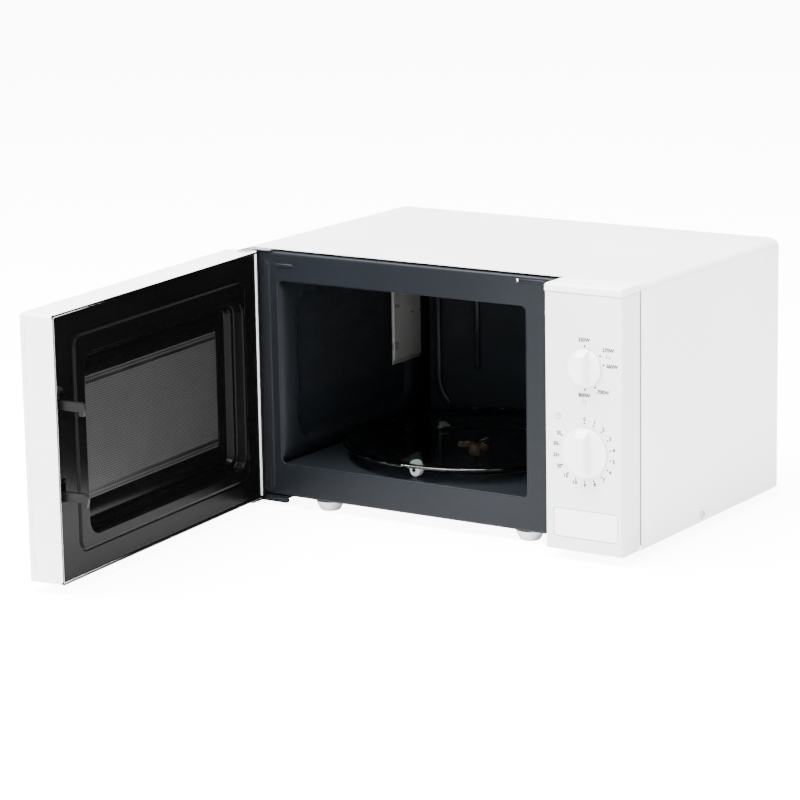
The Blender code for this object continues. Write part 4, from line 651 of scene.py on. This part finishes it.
def addPlateRibs():
    bm = bmesh.new()
    toPlate = lambda u, v, out: (u, -out, v)
    for points in plate["ribs"]:
        beadIn(bm, bentPath(points, 5), plate["ribWidth"], plate["ribRise"], toPlate)
    beadIn(bm, bentPath(plate["pillar"], 5, endStep=6), plate["pillarWidth"],
           plate["pillarRise"], toPlate, sides=16)
    addPiece("front_plate_ribs", meshOf(bm, "front_plate_ribs", 60), "oven",
             materials["darkEnamel"])
    ribGlints = bmesh.new()
    for u, v in plate["ribGlints"]:                     # bright rounded ends of the corner rib, in bright steel: painted highlights where the rounded ends catch the light
        turnedIn(ribGlints, plate["ribGlint"], (u, 0, v), 'Y', 20)
    addPiece("front_plate_studs", meshOf(ribGlints, "front_plate_studs", 60), "oven",
             materials["brightSteel"])


addFrontPlate()
addPlateRibs()


# cavity

cavity = {"left": 36.5, "rear": 277.3, "low": 33.8, "top": 220.2, "fieldFront": 33.0,
          "fieldRear": 241.0, "fieldLow": 48.0, "fieldTop": 205.0, "corner": 26, "sheet": 0.7,
          "press": ((-1.5, 0), (0, 0.12), (1.2, 0.6), (3.0, 2.0), (5.0, 3.9), (6.8, 5.1),
                    (8.4, 5.5), (10.0, 5.6))}


def addLeftWall():
    toWall = lambda u, v, depth: (cavity["left"] - depth, u, v)
    front, rear = 1.2, cavity["rear"] - 0.4
    edge = roundRect(front, cavity["low"], rear, cavity["top"], 0.5)
    sections = [(edge, 0)]
    for inset, depth in cavity["press"]:
        loop = roundRect(cavity["fieldFront"] + inset, cavity["fieldLow"] + inset,
                         cavity["fieldRear"] - inset, cavity["fieldTop"] - inset,
                         cavity["corner"] - inset)
        sections.append((loop, depth))
    bm = pressedSheet(sections, toWall, True)
    wall = addPiece("cavity_left_skin", meshOf(bm, "cavity_left_skin", 50), "oven",
                    materials["ventWall"])
    thicken(wall, cavity["sheet"], -1)
    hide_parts("cavity_left_wall")


steamDuct = {"front": 205, "rear": 256, "low": 96, "proud": 3.2, "ledge": 6}


def addSteamDuct():
    # the raised duct high on the left wall, with a sloping ledge at its foot; its light grey is a painted
    # reflection of something bright on its face
    x = cavity["left"] - 0.2
    out = x + steamDuct["proud"]
    y0, y1 = steamDuct["front"], steamDuct["rear"]
    low, ledge, top = steamDuct["low"], steamDuct["low"] + steamDuct["ledge"], cavity["top"]
    bm = bmesh.new()
    side = [(x, low), (x + 0.8, low + 0.6), (out, ledge), (out, top), (x, top)]
    prismIn(bm, *([(px, y, pz) for px, pz in side] for y in (y0, y1)))
    rounded = [e for e in bm.edges if min(v.co.x for v in e.verts) > x + 0.5]
    bmesh.ops.bevel(bm, geom=rounded, offset=1.0, segments=4, profile=0.5, affect='EDGES')
    addPiece("cavity_duct", meshOf(bm, "cavity_duct", 50), "oven", materials["ductReflectionGrey"])


rearRibs = {"rise": 2.4, "width": 8.5,
            "paths": [[(46.5, 219), (46.5, 58), (62, 41)], [(94.5, 219), (94.5, 84)]]}


def addRearRibs():
    bm = bmesh.new()
    toWall = lambda u, v, out: (u, cavity["rear"] - out, v)
    for points in rearRibs["paths"]:
        beadIn(bm, bentPath(points, 14), rearRibs["width"], rearRibs["rise"], toWall, sides=12)
    addPiece("cavity_rear_ribs", meshOf(bm, "cavity_rear_ribs", 60), "oven",
             materials["cavityEnamel"])


addLeftWall()
addSteamDuct()
addRearRibs()
print("cavity ready")


# turntable

tray = {"x": 179.75, "y": 140.3, "z": 41.6,
        "profile": [(0, 4.0), (60, 4.0), (112, 4.0), (116.5, 4.1), (119, 4.6), (124, 6.0),
                    (127.5, 6.6), (129.2, 6.5), (130.6, 6.8), (132.4, 7.4), (133.8, 7.4),
                    (134.8, 6.7), (135, 5.6), (134.4, 4.6), (132, 3.9), (127, 2.9), (121, 0.9),
                    (118, 0.1), (110, 0.0), (60, 0.0), (0, 0.0)]}


def addTray():
    bm = bmesh.new()
    centre = (tray["x"], tray["y"], tray["z"])
    turnedIn(bm, tray["profile"], centre, sides=128)
    piece = addPiece("glass_tray", meshOf(bm, "glass_tray", 60), "turntable",
                     materials["trayGlass"])
    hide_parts("glass_turntable")


coupler = {"hub": 9.5, "arm": 20, "armWidth": 5.6, "top": 41.0}


def addCoupler():
    bm = bmesh.new()
    top, x, y = coupler["top"], tray["x"], tray["y"]
    hub = coupler["hub"]
    turnedIn(bm, [(0, top - 1.2), (5.2, top - 1.2), (6.4, top - 1.7), (hub - 0.7, top - 5),
                  (hub, top - 6.2), (hub, 28.9), (hub - 0.5, 28.5), (3.5, 28.5), (3.5, 20.5),
                  (0, 20.5)], (x, y, 0), sides=40)
    piece = addPiece("turntable_driver", meshOf(bm, "turntable_driver"), "turntable",
                     materials["brownPlastic"])
    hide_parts("turntable_coupler")
    arms = bmesh.new()
    for i in range(3):
        made = boxIn(arms, (4, -coupler["armWidth"] / 2, top - 5.4),
                     (coupler["arm"], coupler["armWidth"] / 2, top - 0.05))
        turn = Matrix.Translation((x, y, 0)) @ Matrix.Rotation(radians(90 + 120 * i), 4, 'Z')
        bmesh.ops.transform(arms, matrix=turn, verts=made)
    bmesh.ops.bevel(arms, geom=arms.edges[:], offset=0.9, segments=4, profile=0.5,
                    affect='EDGES')
    addPiece("turntable_driver_arms", meshOf(arms, "turntable_driver_arms", 40), "turntable",
             materials["brownPlastic"])
    # painted glints: small white plastic nubs on the arms stand in for the highlights caught under the glass
    glints = bmesh.new()
    for i in range(3):
        angle = radians(90 + 120 * i)
        for reach in (coupler["arm"] - 3.4, coupler["arm"] - 9.5):
            turnedIn(glints, [(0, top + 0.5), (0.9, top + 0.4), (1.5, top - 0.1), (1.5, top - 1),
                            (0, top - 1)], (x + reach * cos(angle), y + reach * sin(angle), 0),
                     sides=16)
    addPiece("turntable_driver_tips", meshOf(glints, "turntable_driver_tips", 50), "turntable",
             materials["whitePlastic"])


addTray()
addCoupler()
print("turntable ready")


# door

chokeShape = {"edge": (3.05, 0.35, 360.95, 247.55), "ring": (31, 24, 328.5, 223), "ringCorner": 10,
              "well": (36, 36, 313, 204), "wellCorner": 15, "screen": (57, 61, 293, 177),
              "edgeCorner": 2.5,
              "edgePress": ((0, 1.6), (0, 0.5), (0.2, 0.3), (1.6, 0.3), (2.0, 0.5), (2.2, 1.3),
                           (2.6, 1.6), (3.4, 1.6)),
              "ringPress": ((-2.4, 1.6), (-1.6, 1.6), (-0.9, 2.0), (-0.3, 2.1), (0.2, 1.8),
                            (0.7, 1.0), (1.3, 0.55), (2.1, 0.42), (2.5, 0.42)),
              "wellPress": ((-1.9, 0.42), (-1.4, 0.42), (-0.6, 0.55), (0.0, 1.0), (0.4, 2.0),
                            (1.5, 9.6), (1.9, 10.6), (2.7, 11.1), (5.2, 11.2), (6.1, 11.5),
                            (6.6, 12.3), (7.6, 17.0), (8.1, 17.9), (9.0, 18.2), (9.8, 18.2)),
              "screenPress": ((0, 18.2), (0.5, 18.5), (0.5, 19.1)), "screenDepth": (19.2, 19.9),
              "slotX": (348.4, 357.0), "slots": (77.5, 161.0), "slotRun": (-1.5, 20.9)}


def addChokeCover():
    toDoor = lambda u, v, depth: (u, -depth, v)
    sections = []
    for key, corner in (("edge", chokeShape["edgeCorner"]), ("ring", chokeShape["ringCorner"]),
                        ("well", chokeShape["wellCorner"]), ("screen", chokeShape["edgeCorner"])):
        presses = chokeShape[key + "Press"]
        sections += [(grown(chokeShape[key], inset, corner), depth) for inset, depth in presses]
    bm = pressedSheet(sections, toDoor, False)
    cover = addPiece("choke_cover_skin", meshOf(bm, "choke_cover_skin", 50), "door",
                     materials["blackGloss"], place=doorPlace)
    slots = bmesh.new()
    left, right = chokeShape["slotX"]
    below, above = chokeShape["slotRun"]
    for z in chokeShape["slots"]:
        boxIn(slots, (left, -8, z + below), (right, 2, z + above), 1.0, 3, axis=1)
    cutWith(cover, slots, "cover_slots", 50)
    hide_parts("choke_cover")


def addScreen():
    bm = bmesh.new()
    left, low, right, top = chokeShape["screen"]
    near, far = chokeShape["screenDepth"]
    boxIn(bm, (left + 0.2, -far, low + 0.2), (right - 0.2, -near, top - 0.2))
    addPiece("door_screen", meshOf(bm, "door_screen"), "door", materials["doorScreen"],
             place=doorPlace)


addChokeCover()
addScreen()
print("door ready")


# control panel

panel = {"left": 362, "right": 442.7, "front": -33.9, "capFront": -34.2, "low": 0.5,
         "capLow": 243.5, "top": 250.95, "back": -0.3, "wall": 2.0, "frontRound": 1.8,
         "capRound": 3.0, "shaftHole": 4.2, "buttonHole": (370.0, 13.05, 438.0, 40.55)}
knobShape = {"x": 404, "power": 175.1, "timer": 95.6, "face": -33.9, "off": 0.6, "high": 11.2,
             "skirt": 2.2, "sizes": {"power": (17.5, 8.2), "timer": (23.3, 9.8)}}


def addPanelHousing():
    # one open-backed shell; its face carries the dials
    bm = bmesh.new()
    boxIn(bm, (panel["left"], panel["front"], panel["low"]),
          (panel["right"], panel["back"], panel["capLow"] - 0.4))
    front = [e for e in bm.edges if max(v.co.y for v in e.verts) < panel["front"] + 0.1]
    bmesh.ops.bevel(bm, geom=front, offset=panel["frontRound"], segments=5, profile=0.5,
                    affect='EDGES')
    rear = [f for f in bm.faces if f.normal.y > 0.99]
    bmesh.ops.delete(bm, geom=rear, context='FACES')
    # the shell takes the darker white plastic, painted shade on its front face
    shell = addPiece("panel_shell", meshOf(bm, "panel_shell", 40), "oven",
                     materials["fasciaShadedPlastic"])
    thicken(shell, panel["wall"], -1)
    holes = bmesh.new()
    bore = panel["shaftHole"]
    for z in (knobShape["timer"], knobShape["power"]):
        turnedIn(holes, [(0, 50), (bore, 50), (bore, 20), (0, 20)], (knobShape["x"], 0, z), 'Y',
                 32)
    left, low, right, top = panel["buttonHole"]
    boxIn(holes, (left, -40, low), (right, -20, top), 1.4, 4, axis=1)
    cutWith(shell, holes, "panel_holes", 40)
    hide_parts("control_fascia")


def addPanelCap():
    bm = bmesh.new()
    boxIn(bm, (panel["left"], panel["capFront"], panel["capLow"]),
          (panel["right"], panel["back"], panel["top"]))
    top = [e for e in bm.edges if min(v.co.z for v in e.verts) > panel["top"] - 0.1
           and min(v.co.y for v in e.verts) <= panel["back"] - 0.1]
    bmesh.ops.bevel(bm, geom=top, offset=panel["capRound"], segments=6, profile=0.5,
                    affect='EDGES')
    cap = addPiece("panel_cap", meshOf(bm, "panel_cap", 40), "oven", materials["whitePlastic"])
    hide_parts("control_panel_housing")


def addKnob(name, node, body, radius, z, grip):
    front = -(knobShape["face"] - knobShape["off"])
    skirt = front + knobShape["skirt"]
    bm = bmesh.new()
    turnedIn(bm, [(0, skirt + 0.7), (radius * 0.5, skirt + 0.6), (radius * 0.84, skirt + 0.25),
                  (radius - 0.9, skirt - 0.1), (radius - 0.3, skirt - 0.45), (radius, skirt - 1.1),
                  (radius, front + 0.3), (radius - 0.3, front), (3.6, front), (3.6, front + 7.5),
                  (0, front + 7.5)],
             (knobShape["x"], 0, z), 'Y', 96)
    knob = addPiece(name, meshOf(bm, name, 40), body, materials["knobPlastic"])
    bar = bmesh.new()
    high = front + knobShape["high"]
    slope, flat = radius * 0.95, radius * 0.70
    side = [(-slope, front + 1.0), (-slope, skirt), (-flat, high), (flat, high), (slope, skirt),
            (slope, front + 1.0)]
    spread = {front + 1.0: 1.6, skirt: 1.3, high: 0.0}     # the bar widens towards its foot
    prismIn(bar, *([(knobShape["x"] + way * (grip / 2 + spread[out]), -out, z + up)
                    for up, out in side] for way in (-1, 1)))
    ridge = [e for e in bar.edges if max(v.co.y for v in e.verts) < -high + 0.1]
    bmesh.ops.bevel(bar, geom=ridge, offset=0.8, segments=4, profile=0.5, affect='EDGES')
    cutWith(knob, bar, name + "_grip", operation='UNION')
    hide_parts(node)


dial = {"printDepth": 0.05, "ink": 0.04, "textSize": 4.9, "bold": 0.2, "markRadius": 1.0,
        "powerRing": 20.3, "timerRing": 27.6, "timerText": 31.2, "timerX": 403.4,
        "timerMark": 0.85, "clock": (375.8, 127.5, 2.8, 0.45), "heatMarks": ((24.4, 12.4),
                                                                            (-0.6, -31.0)),
        "power": [(0, "250W", (-0.6, 25.8)), (52, "270W", (24.5, 18.2)),
                  (78, "360W", (28.2, 3.6)), (148, "700W", (19.1, -21.1)),
                  (180, "800W", (-0.6, -25.9))],
        "timer": [(i * 20, str(i)) for i in range(10)]
                 + [(200 + 20 * i, str(10 + 5 * i)) for i in range(6)]}


def textIn(bm, words, x, z, size):
    curve = bpy.data.curves.new("print", 'FONT')
    curve.body = words
    curve.size = size
    curve.offset = dial["bold"]
    curve.align_x = 'CENTER'
    curve.align_y = 'CENTER'
    curve.resolution_u = 3
    letters = bpy.data.objects.new("print", curve)
    bpy.context.scene.collection.objects.link(letters)
    bpy.context.view_layer.update()
    graph = bpy.context.evaluated_depsgraph_get()
    mesh = bpy.data.meshes.new_from_object(letters.evaluated_get(graph))
    mesh.transform(Matrix.Translation((x, panel["front"] - dial["printDepth"], z))
                   @ Matrix.Rotation(pi / 2, 4, 'X'))
    bm.from_mesh(mesh)
    bpy.data.objects.remove(letters, do_unlink=True)


def discIn(bm, x, z, radius, sides=14):
    y = panel["front"] - dial["printDepth"]
    ring = [bm.verts.new((x + radius * cos(2 * pi * i / sides), y,
                          z + radius * sin(2 * pi * i / sides))) for i in range(sides)]
    bm.faces.new(ring)


def ringIn(bm, x, z, radius, width, sides=28):
    y = panel["front"] - dial["printDepth"]
    outer, inner = [], []
    for i in range(sides):
        a = 2 * pi * i / sides
        outer.append(bm.verts.new((x + radius * cos(a), y, z + radius * sin(a))))
        inner.append(bm.verts.new((x + (radius - width) * cos(a), y,
                                   z + (radius - width) * sin(a))))
    for i in range(sides):
        j = (i + 1) % sides
        bm.faces.new((outer[i], outer[j], inner[j], inner[i]))


def barIn(bm, x0, z0, x1, z1):
    y = panel["front"] - dial["printDepth"]
    bm.faces.new([bm.verts.new((x, y, z)) for x, z in ((x0, z0), (x1, z0), (x1, z1), (x0, z1))])


def addDialPrint():
    bm = bmesh.new()
    x, power, timer = knobShape["x"], knobShape["power"], knobShape["timer"]
    for angle, words, (dx, dz) in dial["power"]:
        a = radians(angle)
        discIn(bm, x + dial["powerRing"] * sin(a), power + dial["powerRing"] * cos(a),
               dial["markRadius"])
        textIn(bm, words, x + dx, power + dz, dial["textSize"])
    for dx, dz in dial["heatMarks"]:              # small plain marks under two of the powers
        for i in (-1, 1):
            mark = x + dx + i * 1.5
            barIn(bm, mark - 1.0, power + dz - 1.6, mark + 1.0, power + dz - 1.2)
            barIn(bm, mark - 0.25, power + dz - 1.2, mark + 0.25, power + dz + 1.6)
    for angle, words in dial["timer"]:
        a = radians(angle)
        centre, ring, textRing = dial["timerX"], dial["timerRing"], dial["timerText"]
        discIn(bm, centre + ring * sin(a), timer + ring * cos(a),
               dial["timerMark"])
        textIn(bm, words, centre + textRing * sin(a), timer + textRing * cos(a),
               dial["textSize"])
    u, v = dial["clock"][:2]                      # a clock face beside the timer
    ringIn(bm, *dial["clock"])
    barIn(bm, u - 0.2, v, u + 0.2, v + 1.9)
    barIn(bm, u, v - 0.2, u + 1.5, v + 0.2)
    bmesh.ops.recalc_face_normals(bm, faces=bm.faces)
    mesh = meshOf(bm, "dial_print")
    piece = addPiece("dial_print", mesh, "oven", materials["printGrey"])
    thicken(piece, dial["ink"], 0)


addPanelHousing()
addPanelCap()
for which in ("power", "timer"):
    radius, grip = knobShape["sizes"][which]
    addKnob(which + "_knob_grip", which + "_knob", which + "_control", radius, knobShape[which],
            grip)
addDialPrint()
print("control panel ready")


# feet and screws

footShape = {"nodes": ("foot_front_left", "foot_front_right", "foot_rear_left",
                       "foot_rear_right"),
             "profile": [(0, 0.6), (14, 0.6), (14, -0.6), (13.6, -1.2), (10.4, -7.8), (9.7, -8.8),
                         (9.2, -9.0), (6.4, -9.0), (6.0, -8.2), (0, -8.2)]}


def addFeet():
    for name in footShape["nodes"]:
        low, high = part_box(name)
        centre = ovenPlace.inverted() @ ((low + high) / 2)
        bm = bmesh.new()
        turnedIn(bm, footShape["profile"], (centre.x / mm, centre.y / mm, 0), sides=48)
        foot = addPiece(name + "_pad", meshOf(bm, name), "oven", materials["greyRubber"])
        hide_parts(name)


screwShape = {"profile": [(0, 2.1), (1.6, 2.05), (2.7, 1.6), (3.4, 0.8), (3.6, 0.1), (3.6, 0),
                          (1.8, 0), (1.8, -4.2), (0, -4.2)],
              "cross": (2.2, 0.35), "crossDepth": 0.9,
              "right": (443.3, 121, 7), "left": (-0.3, 121, 7), "rearY": 285.3,
              "rear": ((10.9, 60), (10.9, 190.5), (432.1, 60), (432.1, 190.5),
                       (443 / 3, 239.6), (443 * 2 / 3, 239.6))}


def addScrew(name, centre, turn, replaces=None):
    bm = bmesh.new()
    turnedIn(bm, screwShape["profile"], (0, 0, 0), sides=32)
    spin = Matrix.Translation(centre) @ turn.to_4x4()
    bmesh.ops.transform(bm, matrix=spin, verts=bm.verts)
    screw = addPiece(name, meshOf(bm, name), "oven", materials["brightSteel"])
    cross = bmesh.new()                          # one plus-shaped solid
    far, near = screwShape["cross"]
    quarter = [(far, -near), (far, near), (near, near)]
    outline = [Matrix.Rotation(radians(90 * i), 2) @ Vector(point)
               for i in range(4) for point in quarter]
    prismIn(cross, *([(u, v, depth) for u, v in outline]
                     for depth in (screwShape["crossDepth"], 4)))
    bmesh.ops.transform(cross, matrix=spin, verts=cross.verts)
    cutWith(screw, cross, name + "_cross")
    if replaces:
        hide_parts(replaces)


def addScrews():
    toRight = Matrix.Rotation(pi / 2, 3, 'Y')
    toLeft = Matrix.Rotation(-pi / 2, 3, 'Y')
    toRear = Matrix.Rotation(-pi / 2, 3, 'X')
    addScrew("case_screw_right", screwShape["right"], toRight, "side_screw")
    addScrew("case_screw_left", screwShape["left"], toLeft)
    for i, (x, z) in enumerate(screwShape["rear"]):
        addScrew("rear_screw_%d" % (i + 1), (x, screwShape["rearY"], z), toRear)


addFeet()
addScrews()
print("feet and screws ready")


# floor, light and camera

studio = {"floor": (0.95, 0.95, 0.95), "world": 1.5, "glow": 9.0, "aim": (0, 0, 0.12),
          "lights": {"key": (680.0, 2.4, (-0.5, -0.7, 2.8)),      # power, size, place
                     "fill": (20.0, 2.6, (-2.4, -1.6, 1.8)),
                     "front": (50.0, 2.0, (0.3, -3.4, 1.2)),
                     "side": (110.0, 2.0, (3.2, 0.2, 1.5))}}


def addStudio():
    bm = bmesh.new()
    bmesh.ops.create_grid(bm, x_segments=2, y_segments=2, size=30000)
    mesh = meshOf(bm, "floor")
    floor = bpy.data.objects.new("floor", mesh)
    bpy.context.scene.collection.objects.link(floor)
    material = bpy.data.materials.new("paleFloor")
    material.use_nodes = True
    shader = material.node_tree.nodes["Principled BSDF"]
    shader.inputs["Base Color"].default_value = (*studio["floor"], 1)
    shader.inputs["Roughness"].default_value = 0.9
    shader.inputs["Emission Color"].default_value = (1, 1, 1, 1)
    seen = material.node_tree.nodes.new('ShaderNodeLightPath')     # white to look at, not a lamp
    glow = mathNode(material.node_tree, 'MULTIPLY', seen.outputs["Is Camera Ray"], studio["glow"])
    material.node_tree.links.new(glow, shader.inputs["Emission Strength"])
    mesh.materials.append(material)
    world = bpy.data.worlds.new("studio")
    world.use_nodes = True
    world.node_tree.nodes["Background"].inputs["Color"].default_value = (1, 1, 1, 1)
    world.node_tree.nodes["Background"].inputs["Strength"].default_value = studio["world"]
    bpy.context.scene.world = world
    for name, (power, size, spot) in studio["lights"].items():
        light = bpy.data.lights.new(name, 'AREA')
        light.energy = power
        light.size = size
        lamp = bpy.data.objects.new(name, light)
        lamp.location = spot
        aim = Vector(studio["aim"]) - Vector(spot)
        lamp.rotation_euler = aim.to_track_quat('-Z', 'Y').to_euler()
        bpy.context.scene.collection.objects.link(lamp)


viewpoint = {"spot": (1823.63, -2498.08, 781.11), "yaw": 33.347, "pitch": 12.568,
             "roll": -1.0145, "lens": 143.467}


def addCamera():
    yaw, pitch, roll = (radians(viewpoint[k]) for k in ("yaw", "pitch", "roll"))
    ahead = Vector((-sin(yaw) * cos(pitch), cos(yaw) * cos(pitch), -sin(pitch)))
    right = ahead.cross(Vector((0, 0, 1))).normalized()
    up = right.cross(ahead)
    tiltRight = right * cos(roll) + up * sin(roll)
    tiltUp = up * cos(roll) - right * sin(roll)
    turn = Matrix((tiltRight, tiltUp, -ahead)).transposed().to_4x4()
    lens = bpy.data.cameras.new("camera")
    lens.sensor_width = 36
    lens.lens = viewpoint["lens"]
    lens.clip_end = 200
    camera = bpy.data.objects.new("camera", lens)
    camera.matrix_world = Matrix.Translation(ovenPlace @ (Vector(viewpoint["spot"]) * mm)) @ turn
    bpy.context.scene.collection.objects.link(camera)
    bpy.context.scene.camera = camera


for spare in ("Cube", "Light", "Camera"):
    if spare in bpy.data.objects:
        bpy.data.objects.remove(bpy.data.objects[spare], do_unlink=True)
addStudio()
addCamera()
print("studio ready")
